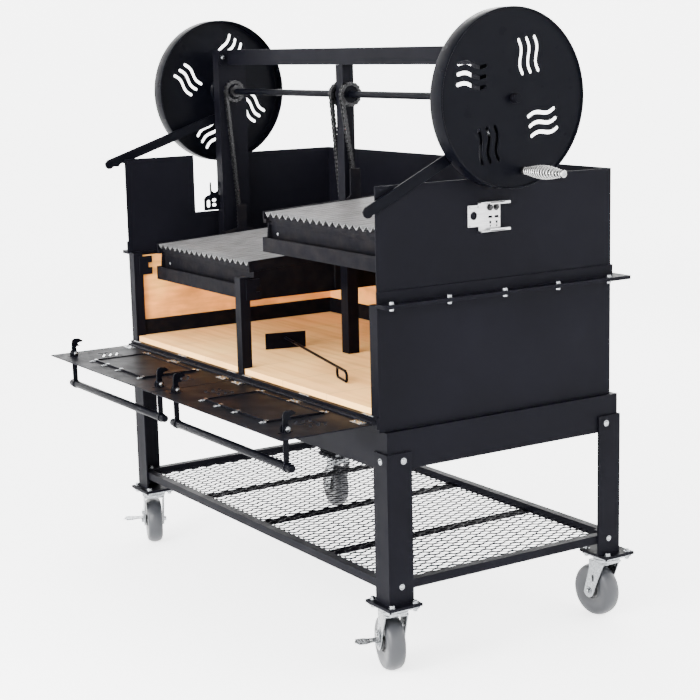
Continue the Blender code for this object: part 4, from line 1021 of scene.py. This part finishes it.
class GRILL_OT_doors(Operator):
    """Door clips, hinge leaves, window covers and latch handles with their hooks"""

    bl_idname = "grill.doors"
    bl_label = "Door hardware"

    LIP = 0.0065
    CLIP_HALF = 0.0065
    CLIP_SHARES = (0.02, 0.27, 0.55, 0.98)  # places of the front clips along the cover
    HINGE_SHARES = (0.06, 0.5, 0.94)
    PIN_BACK = 0.0055
    BAR_REACH = (0.022, 0.692)
    BAR_END = ((0.0002, 0.0), (0.0085, 0.0006), (0.0104, 0.003), (0.011, 0.006))
    BAR_R = 0.011
    BAR_FORWARD = 0.0005
    ARMS = (0.052, 0.662)
    ARM_HALF = 0.0075
    # The hook from its pivot, from the arm's back edge up and round to its front edge
    HOOK = (
        (0.008, -0.012), (0.0095, 0.006), (0.0075, 0.016), (0.0095, 0.0205), (0.021, 0.0215),
        (0.0145, 0.027), (0.014, 0.031), (0.0285, 0.0335), (0.0315, 0.037), (0.0185, 0.0455),
        (0.004, 0.0465), (-0.004, 0.0425), (-0.007, 0.033), (-0.0085, -0.010),
    )
    PIVOT_PIN = (0.0041, 0.0135)  # radius and half length

    def execute(self, context):
        for name, side in SIDES:
            self.cover(name)
            self.hinges(name)
            self.latch(name, side)
        return {"FINISHED"}

    def cover(self, name):
        """The cover plate over the door's window, with a raised lip, and the clips that hold it."""
        low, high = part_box(f"door_cover_{name}")
        shape = bmesh.new()
        outline = rounded((low.x, high.x), (low.y, high.y), 0.004, 3)
        add_plate(shape, outline, (low.z, low.z + 0.0022), "XY", round_edge=0.0006)
        for a, b in (
            ((low.x, low.y), (high.x, low.y + self.LIP)),
            ((low.x, high.y - self.LIP), (high.x, high.y)),
            ((low.x, low.y), (low.x + self.LIP, high.y)),
            ((high.x - self.LIP, low.y), (high.x, high.y)),
        ):
            add_block(shape, (*a, low.z + 0.0003), (*b, high.z + 0.0012))
        body = f"front_door_{name}"
        replaced = [f"door_cover_{name}"]
        fit(f"window_cover_{name}", shape, "powder_coat", body, replaces=replaced, edge=0.0004)
        clips = bmesh.new()
        for share in self.CLIP_SHARES:
            self.clip(clips, Vector((low.x + (high.x - low.x) * share, low.y, low.z)), -1)
        for x in (low.x + 0.004, high.x - 0.004, (low.x + high.x) / 2):
            self.clip(clips, Vector((x, high.y, low.z)), 1)
        fit(f"cover_clips_{name}", clips, "zinc_plate", body, edge=0.0002)

    def clip(self, shape, at, out):
        """A small Z clip: a foot on the door, a step and a toe on the cover, held by a pan screw."""
        foot = (0.0008, 0.017, 0.0, 0.0016)
        toe = (0.0024, -0.008, 0.0040, 0.0055)
        riser = (0.0008, 0.0024, 0.0, 0.0055)
        for near, far, bottom, top in (foot, toe, riser):
            y = sorted((at.y + out * near, at.y + out * far))
            corner = (at.x - self.CLIP_HALF, y[0], at.z + bottom)
            add_block(shape, corner, (at.x + self.CLIP_HALF, y[1], at.z + top))
        add_dome(shape, (at.x, at.y + out * 0.0105, at.z + 0.0014), (0, 0, 1), 0.0040)

    def hinges(self, name):
        """Bright hinge leaves: one half on the door and one on the sill, at three places."""
        door_low, door_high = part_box(f"door_{name}")
        pin_y = door_high.y - self.PIN_BACK
        door_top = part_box(f"door_cover_{name}")[0].z - 0.0003
        sill_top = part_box("front_sill")[1].z
        door_leaves = bmesh.new()
        sill_leaves = bmesh.new()
        for share in self.HINGE_SHARES:
            x = door_low.x + (door_high.x - door_low.x) * share
            outline = rounded((x - 0.024, x + 0.024), (pin_y - 0.032, pin_y - 0.0065), 0.003)
            add_plate(door_leaves, outline, (door_top, door_top + 0.0018), "XY", round_edge=0.0004)
            outline = rounded((x - 0.026, x + 0.026), (pin_y + 0.0075, pin_y + 0.0145), 0.002)
            add_plate(sill_leaves, outline, (sill_top, sill_top + 0.002), "XY", round_edge=0.0004)
            for way in (-1, 1):
                screw = (x + way * 0.014, pin_y - 0.020, door_top + 0.0017)
                add_dome(door_leaves, screw, (0, 0, 1), 0.0036)
                screw = (x + way * 0.016, pin_y + 0.0108, sill_top + 0.0018)
                add_dome(sill_leaves, screw, (0, 0, 1), 0.0028)
        fit(f"hinge_leaves_{name}", door_leaves, "zinc_plate", f"front_door_{name}")
        fit(f"sill_leaves_{name}", sill_leaves, "zinc_plate", "cart")

    def latch(self, name, side):
        """The pull bar on two arms, with a hook at the top of each arm."""
        pivot = joint_at(f"latch_{name}_swing")
        bar = (pivot.y + self.BAR_FORWARD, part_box(f"latch_handle_{name}")[0].z + self.BAR_R)
        start, end = sorted(side * reach for reach in self.BAR_REACH)
        shape = bmesh.new()
        profile = [*self.BAR_END, *((r, end - start - along) for r, along in reversed(self.BAR_END))]
        add_turned(shape, profile, (start, *bar), (1, 0, 0), 40, closed=False)
        pins = bmesh.new()
        pin_r, pin_half = self.PIVOT_PIN
        outline = [(bar[0] - self.ARM_HALF, bar[1]), (bar[0] + self.ARM_HALF, bar[1])]
        outline += moved(self.HOOK, pivot.yz)
        for reach in self.ARMS:
            x = side * reach
            add_plate(shape, outline, (x - 0.0026, x + 0.0026), round_edge=0.0005)
            add_rod(shape, (x - pin_half, *pivot.yz), (x + pin_half, *pivot.yz), pin_r, 20)
            for out in (-1, 1):
                add_dome(pins, (x + out * 0.0132, *pivot.yz), (out, 0, 0), 0.0052)
                add_rod(shape, (x, *bar), (x + out * 0.006, *bar), 0.0135, 32)
        body = f"latch_{name}"
        replaced = [f"latch_handle_{name}"]
        fit(f"pull_bar_{name}", shape, "wheel_enamel", body, replaces=replaced, edge=0.0004)
        fit(f"hook_pins_{name}", pins, "zinc_plate", body)


class GRILL_OT_levers(Operator):
    """Brake levers with finger grips and their pivot pins"""

    bl_idname = "grill.levers"
    bl_label = "Brake levers"

    SLOPES = {1: 25.5, -1: 18.4}
    # The lever from its pivot, its handle forwards: the handle's end, then the tail and the top edge
    HANDLE = ((-0.428, -0.012), (-0.421, -0.015))
    TAIL = ((-0.320, -0.015), (0.050, -0.015), (0.060, -0.010), (0.062, 0.002), (0.056, 0.0122))
    TOP = ((0.020, 0.0125), (-0.020, 0.015), (-0.420, 0.015), (-0.4315, 0.008), (-0.433, -0.004))
    FINGERS = 3
    FINGER_STEPS = 6
    FINGER_RUN = (-0.415, 0.0875)  # where the finger waves start and how far they run
    FINGER_DEPTH = 0.0027
    HEAD_X = 0.7499

    def outline(self):
        steps = self.FINGERS * self.FINGER_STEPS
        start, run = self.FINGER_RUN
        points = list(self.HANDLE)
        for i in range(steps + 1):
            wave = self.FINGER_DEPTH * math.sin(math.tau * i / self.FINGER_STEPS)
            points.append((start + run * i / steps, wave - 0.0146))
        return [*points, *self.TAIL, *self.TOP]

    def execute(self, context):
        for name, side in SIDES:
            pivot = joint_at(f"brake_lever_{name}_turn")
            turn = Matrix.Rotation(math.radians(self.SLOPES[side]), 2)
            outline = moved([turn @ Vector(point) for point in self.outline()], pivot.yz)
            low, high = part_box(f"brake_lever_{name}")
            shape = bmesh.new()
            holes = [circle(pivot.yz, 0.0062, 24)]
            add_plate(shape, outline, (low.x, high.x), holes=holes, round_edge=0.0012)
            body = f"lever_{name}"
            replaced = [f"brake_lever_{name}"]
            fit(f"lever_bar_{name}", shape, "wheel_enamel", body, replaces=replaced, smooth=30)
            pin = bmesh.new()
            add_dome(pin, (side * self.HEAD_X, *pivot.yz), (side, 0, 0), 0.0075)
            fit(f"lever_pin_{name}", pin, "zinc_plate", "cart")
        return {"FINISHED"}


class GRILL_OT_fasteners(Operator):
    """Bolts on the legs, rim, beam, posts and carriages, and the shelf's corner tabs"""

    bl_idname = "grill.fasteners"
    bl_label = "Bolts and tabs"

    LEG_FACE_X = 0.752
    LEG_WALL = 0.0063
    TAB_X = 0.722
    TAB_HALF = (0.022, 0.018)
    RIM_BOLT_R = 0.0058
    RIM_BOLT_X = 0.757
    RIM_SHEET = 0.005
    RIM_INSET = 0.030
    RIM_SHARE = 0.95
    REAR_BOLTS = (-0.56, -0.28, 0.0, 0.28, 0.56)
    BEAM_BOLTS = (-0.037, 0.037)
    BEARING_X = 0.7279
    BEARING = ((0.0108, 0.0), (0.024, 0.0), (0.024, 0.003), (0.019, 0.0042), (0.0108, 0.0042))

    def execute(self, context):
        self.legs()
        self.rim()
        self.tower()
        self.carriages()
        return {"FINISHED"}

    def legs(self):
        shape = bmesh.new()
        tabs = bmesh.new()
        shelf_low, shelf_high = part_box("shelf_frame")
        head = sizes().bolt_head
        for name, side, row in CORNERS:
            face_x = side * self.LEG_FACE_X
            face_y = self.leg_face(row)
            bolt_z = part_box(f"leg_{name}")[1].z - 0.022
            add_dome(shape, (face_x, face_y - row * 0.052, bolt_z), (side, 0, 0), head)
            if row < 0:
                add_dome(shape, (face_x - side * 0.030, face_y, bolt_z), (0, row, 0), head)
            top = shelf_high.z
            x = side * self.TAB_X
            y = face_y - row * 0.033
            half_x, half_y = self.TAB_HALF
            outline = rounded((x - half_x, x + half_x), (y - half_y, y + half_y), 0.004)
            add_plate(tabs, outline, (top - 0.0002, top + 0.003), "XY", round_edge=0.0005)
            add_bolt(shape, (x, y, top + 0.003), (0, 0, 1), head * 0.9)
            add_dome(shape, (face_x, face_y - row * 0.040, shelf_low.z + 0.012), (side, 0, 0), head * 0.9)
        fit("leg_bolts", shape, "zinc_plate", "cart")
        fit("shelf_tabs", tabs, "powder_coat", "cart")

    def leg_face(self, row):
        low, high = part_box("apron_frame")
        return low.y - self.LEG_WALL if row < 0 else high.y + self.LEG_WALL

    def rim(self):
        """Flange bolts along the sides and the back, with their nuts below."""
        low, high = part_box("rim_angle")
        top = low.z + self.RIM_SHEET
        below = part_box("firebox_shell")[1].z - self.RIM_SHEET
        run = (high.y - low.y - 2 * self.RIM_INSET) * self.RIM_SHARE
        spots = []
        for i in range(5):
            y = low.y + self.RIM_INSET + run * i / 4
            spots += [(side * self.RIM_BOLT_X, y) for side in (-1, 1)]
        spots += [(x, high.y - 0.013) for x in self.REAR_BOLTS]
        shape = bmesh.new()
        for spot in spots:
            add_bolt(shape, (*spot, top), (0, 0, 1), self.RIM_BOLT_R)
            add_bolt(shape, (*spot, below), (0, 0, -1), self.RIM_BOLT_R)
        fit("rim_bolts", shape, "zinc_plate", "cart")

    def tower(self):
        """Bolts through the beam's end plates, and the shafts' bearings."""
        bolts = bmesh.new()
        rings = bmesh.new()
        beam_low, beam_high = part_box("top_beam")
        middle_z = (beam_low.z + beam_high.z) / 2
        for side in (-1, 1):
            face = side * (beam_high.x - 0.006)
            for along in self.BEAM_BOLTS:
                add_bolt(bolts, (face, SHAFT_Y + along, middle_z), (-side, 0, 0), 0.0052)
            add_turned(rings, self.BEARING, (side * self.BEARING_X, *SHAFT), (side, 0, 0), 40)
        fit("tower_bolts", bolts, "zinc_plate", "cart")
        fit("shaft_bearings", rings, "chain_steel", "cart")

    def carriages(self):
        """A small bolt near each end of the drip plates, and the chains' clip bolts."""
        for name, side in SIDES:
            low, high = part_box(f"grate_tray_{name}")
            bolt_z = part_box(f"grate_{name}")[0].z - 0.045
            shape = bmesh.new()
            for x in (low.x + 0.040, high.x - 0.040):
                add_dome(shape, (x, low.y + 0.0255, bolt_z), (0, -1, 0), 0.0036)
            clip_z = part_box(f"carriage_{name}")[1].z - 0.012
            for place, out in zip(STRANDS, (-side, side)):
                chain_low, chain_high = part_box(f"chain_{name}_{place}")
                x = chain_low.x if out < 0 else chain_high.x
                add_bolt(shape, (x + out * 0.001, SHAFT_Y + 0.002, clip_z), (out, 0, 0), 0.0042, washer=False)
            fit(f"carriage_bolts_{name}", shape, "zinc_plate", f"lift_{name}")


class GRILL_OT_grates(Operator):
    """Comb plates under the V bars, which close the gaps between them at the front and the back"""

    bl_idname = "grill.grates"
    bl_label = "Grate combs"

    BARS = 18
    DEPTH = 0.013
    SLOPE = math.radians(3.0)
    BAR_GAP = 0.0036
    TOOTH_GAP = 0.0042
    FOOT = 0.012
    PLACES = (0.0075, 0.009)  # from the grate's front end and back end
    THICK = 0.0025

    def execute(self, context):
        for name, side in SIDES:
            low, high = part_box(f"grate_{name}")
            top = high.z - (high.y - low.y) * math.tan(self.SLOPE)
            outline = self.comb(low.x, high.x, top)
            shape = bmesh.new()
            for y in (low.y + self.PLACES[0], high.y - self.PLACES[1]):
                add_plate(shape, outline, (y, y + self.THICK), "XZ")
            pivot = Vector((0.0, low.y, top))
            tilt = Matrix.Rotation(self.SLOPE, 4, "X")
            shape.transform(Matrix.Translation(pivot) @ tilt @ Matrix.Translation(-pivot))
            fit(f"grate_combs_{name}", shape, "band_black", f"lift_{name}")
        return {"FINISHED"}

    def comb(self, left_end, right_end, top):
        """A flat foot with a tooth that fits into every V bar."""
        pitch = (right_end - left_end + self.BAR_GAP) / self.BARS
        half = pitch / 2 - self.TOOTH_GAP
        left_end += 0.001
        right_end -= 0.001
        root = top - self.DEPTH + 0.0004
        foot = top - self.DEPTH - self.FOOT
        outline = [(left_end, foot)]
        for i in range(self.BARS + 1):
            x = left_end - 0.001 - self.BAR_GAP / 2 + pitch * i
            outline.append((max(x - half, left_end), root))
            if 0 < i < self.BARS:
                outline.append((x, top - 0.0030))
            outline.append((min(x + half, right_end), root))
        return [*outline, (right_end, foot)]


class GRILL_OT_spit_fittings(Operator):
    """The spit motor's bracket on the right guard and the rod's cradle on the left"""

    bl_idname = "grill.spit_fittings"
    bl_label = "Spit fittings"

    # Both outlines start at the lower front corner
    BRACKET = (
        (0.0, 0.014), (0.034, 0.014), (0.036, 0.0005), (0.106, 0.0005), (0.106, 0.0765),
        (0.036, 0.0765), (0.034, 0.071), (0.0, 0.071),
    )
    MOUTH = ((0.0189, 0.0435), 0.011)
    SCREW_COLUMNS = (0.073, 0.094)
    CORNER_HOLES = ((0.006, 0.066), (0.033, 0.066), (0.006, 0.0175))
    FLANGE = 0.003
    FLAPS = ((0.0, 0.0075), (-0.0045, 0.003))  # the bottom and top flaps' edges from their flanges
    MOTOR_BOLTS = ((0.0715, 0.0625), (0.0925, 0.0625))
    CRADLE_RIGHT = ((0.0545, 0.052), (0.0600, 0.085), (0.0585, 0.093), (0.0545, 0.093))
    CRADLE_LEFT = (
        (0.0285, 0.093), (0.0245, 0.093), (0.0230, 0.085), (0.0235, 0.053), (0.006, 0.046),
        (0.0, 0.038),
    )
    CRADLE_SHOULDER = 0.047
    FORK = ((0.0415, 0.071), 0.013)
    CRADLE_WINDOWS = (
        ((0.010, 0.022), (0.010, 0.034)),
        ((0.030, 0.045), (0.012, 0.022)),
        ((0.030, 0.045), (0.028, 0.038)),
    )

    def execute(self, context):
        self.bracket()
        self.cradle()
        return {"FINISHED"}

    def bracket(self):
        low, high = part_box("spit_motor_bracket")
        face = low.x
        corner = low.yz
        mouth, mouth_r = self.MOUTH
        holes = [circle(*moved([mouth], corner), mouth_r, 32)]
        for across in self.SCREW_COLUMNS:
            holes.append(moved(rounded((across - 0.007, across + 0.007), (0.0345, 0.0405), 0.0028), corner))
            holes.append(moved(circle((across, 0.023), 0.0034, 16), corner))
            holes.append(moved(circle((across, 0.0135), 0.0022, 16), corner))
        holes += [moved(circle(spot, 0.0018, 12), corner) for spot in self.CORNER_HOLES]
        shape = bmesh.new()
        add_plate(shape, moved(self.BRACKET, corner), (face, face + 0.003), holes=holes, round_edge=0.0005)
        for z, (bottom, top) in zip((low.z, high.z - self.FLANGE), self.FLAPS):
            start = (face + 0.0002, low.y + 0.034, z)
            add_block(shape, start, (face + 0.0155, low.y + 0.112, z + self.FLANGE))
            flap = rounded((low.y + 0.064, high.y), (z + bottom, z + top), 0.002)
            add_plate(shape, flap, (face + 0.0125, face + 0.0155), round_edge=0.0006)
        replaced = ["spit_motor_bracket"]
        fit("motor_bracket", shape, "bracket_steel", "cart", replaces=replaced)
        bolts = bmesh.new()
        for spot in moved(self.MOTOR_BOLTS, corner):
            add_bolt(bolts, (face + 0.003, *spot), (1, 0, 0), 0.0062)
        fit("motor_bracket_bolts", bolts, "chain_steel", "cart")

    def cradle(self):
        low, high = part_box("spit_cradle")
        corner = low.yz
        width = high.y - low.y
        fork, fork_r = self.FORK
        outline = [(0.0, 0.0), (width, 0.0), (width, self.CRADLE_SHOULDER), *self.CRADLE_RIGHT]
        outline += [*arc(fork, fork_r, 0, -180, 14), *self.CRADLE_LEFT]
        outline = moved([(min(across, width), up) for across, up in outline], corner)
        holes = [moved(rounded(across, up, 0.004), corner) for across, up in self.CRADLE_WINDOWS]
        shape = bmesh.new()
        add_plate(shape, outline, (high.x - 0.004, high.x), holes=holes, round_edge=0.0006)
        add_block(shape, (low.x, high.y - 0.004, low.z), (high.x - 0.002, high.y, low.z + 0.045))
        fit("rod_cradle", shape, "wheel_enamel", "cart", replaces=["spit_cradle"])
        bolts = bmesh.new()
        for up in (0.012, 0.034):
            add_bolt(bolts, (low.x + 0.006, high.y - 0.004, low.z + up), (0, -1, 0), 0.0042)
        fit("rod_cradle_bolts", bolts, "zinc_plate", "cart")


class GRILL_OT_stage(Operator):
    """The pale floor, the soft lights and the camera"""

    bl_idname = "grill.stage"
    bl_label = "Studio"

    FLOOR_R = 9.0
    CURVE_R = 4.0
    WALL_TOP = 12.0
    # Each light's place, target, size and power as a share of the key light's
    LIGHTS = (
        ("mouth", (0.6, -3.4, 1.25), (0.0, 0.2, 0.85), (1.8, 0.8), 1.75),
        ("key", (2.6, -4.2, 3.6), (0.1, 0.0, 0.8), (3.0, 2.2), 1.0),
        ("side", (4.8, 1.8, 2.8), (0.3, 0.0, 0.9), (2.6, 2.2), 0.55),
        ("back", (-2.8, 3.4, 3.4), (0.0, 0.0, 1.0), (3.0, 1.8), 0.6),
        ("top", (0.2, -0.3, 4.6), (0.0, 0.0, 0.0), (3.4, 2.6), 0.5),
    )

    def execute(self, context):
        self.floor()
        self.lights(context)
        self.camera(context)
        return {"FINISHED"}

    def floor(self):
        """A floor that curves up into a wall all round, so no horizon shows."""
        profile = [(0.0001, 0.0), (self.FLOOR_R / 2, 0.0)]
        profile += arc((self.FLOOR_R, self.CURVE_R), self.CURVE_R, -90, 0, 16)
        profile.append((self.FLOOR_R + self.CURVE_R, self.WALL_TOP))
        shape = bmesh.new()
        add_turned(shape, profile, (0, 0, 0), (0, 0, 1), 96, capped=False)
        mesh = bpy.data.meshes.new("studio_floor")
        shape.to_mesh(mesh)
        shape.free()
        mesh.shade_smooth()
        floor = bpy.data.objects.new("studio_floor", mesh)
        bpy.context.scene.collection.objects.link(floor)
        mesh.materials.append(finish("studio_paper"))

    def lights(self, context):
        world = bpy.data.worlds.new("studio_air")
        world.use_nodes = True
        air = world.node_tree.nodes["Background"]
        air.inputs["Color"].default_value = (1.0, 1.0, 1.0, 1.0)
        air.inputs["Strength"].default_value = context.scene.grill_studio.air
        context.scene.world = world
        for name, at, target, size, share in self.LIGHTS:
            self.panel(name, at, target, size, context.scene.grill_studio.key_power * share)

    @staticmethod
    def panel(name, at, target, size, power):
        light = bpy.data.lights.new(name, "AREA")
        light.shape = "RECTANGLE"
        light.size, light.size_y = size
        light.energy = power
        lamp = bpy.data.objects.new(name, light)
        lamp.location = at
        lamp.rotation_euler = (Vector(target) - Vector(at)).to_track_quat("-Z", "Y").to_euler()
        bpy.context.scene.collection.objects.link(lamp)

    @staticmethod
    def camera(context):
        studio = context.scene.grill_studio
        heading, tilt, roll = studio.camera_turn
        lens = bpy.data.cameras.new("studio_camera")
        lens.lens = studio.camera_lens
        camera = bpy.data.objects.new("studio_camera", lens)
        turn = Matrix.Rotation(heading, 4, "Z") @ Matrix.Rotation(math.pi / 2 - tilt, 4, "X")
        camera.matrix_world = Matrix.Translation(studio.camera_place) @ turn @ Matrix.Rotation(roll, 4, "Z")
        context.scene.collection.objects.link(camera)
        context.scene.camera = camera


class GRILL_PT_sidebar(Panel):
    """Sizes, colours and the steps that fit out the cart"""

    bl_idname = "GRILL_PT_sidebar"
    bl_label = "Grill Cart"
    bl_space_type = "VIEW_3D"
    bl_region_type = "UI"
    bl_category = "Grill Cart"

    def draw(self, context):
        for group in (context.scene.grill_sizes, context.scene.grill_colours, context.scene.grill_studio):
            box = self.layout.box()
            for name in group.__annotations__:
                box.prop(group, name)
        for operator in OPERATORS:
            self.layout.operator(operator.bl_idname)


OPERATORS = (
    GRILL_OT_frame_finishes,
    GRILL_OT_shelf_mesh,
    GRILL_OT_chains,
    GRILL_OT_hand_wheels,
    GRILL_OT_casters,
    GRILL_OT_doors,
    GRILL_OT_levers,
    GRILL_OT_fasteners,
    GRILL_OT_grates,
    GRILL_OT_spit_fittings,
    GRILL_OT_stage,
)
GROUPS = {"grill_sizes": GrillSizes, "grill_colours": GrillColours, "grill_studio": GrillStudio}


def register():
    for group in (*GROUPS.values(), *OPERATORS, GRILL_PT_sidebar):
        bpy.utils.register_class(group)
    for name, group in GROUPS.items():
        setattr(bpy.types.Scene, name, PointerProperty(type=group))


def unregister():
    for name in GROUPS:
        delattr(bpy.types.Scene, name)
    for group in (GRILL_PT_sidebar, *reversed(OPERATORS), *GROUPS.values()):
        bpy.utils.unregister_class(group)


def main():
    register()
    for operator in OPERATORS:
        group, name = operator.bl_idname.split(".")
        getattr(getattr(bpy.ops, group), name)()


if __name__ == "__main__":
    main()
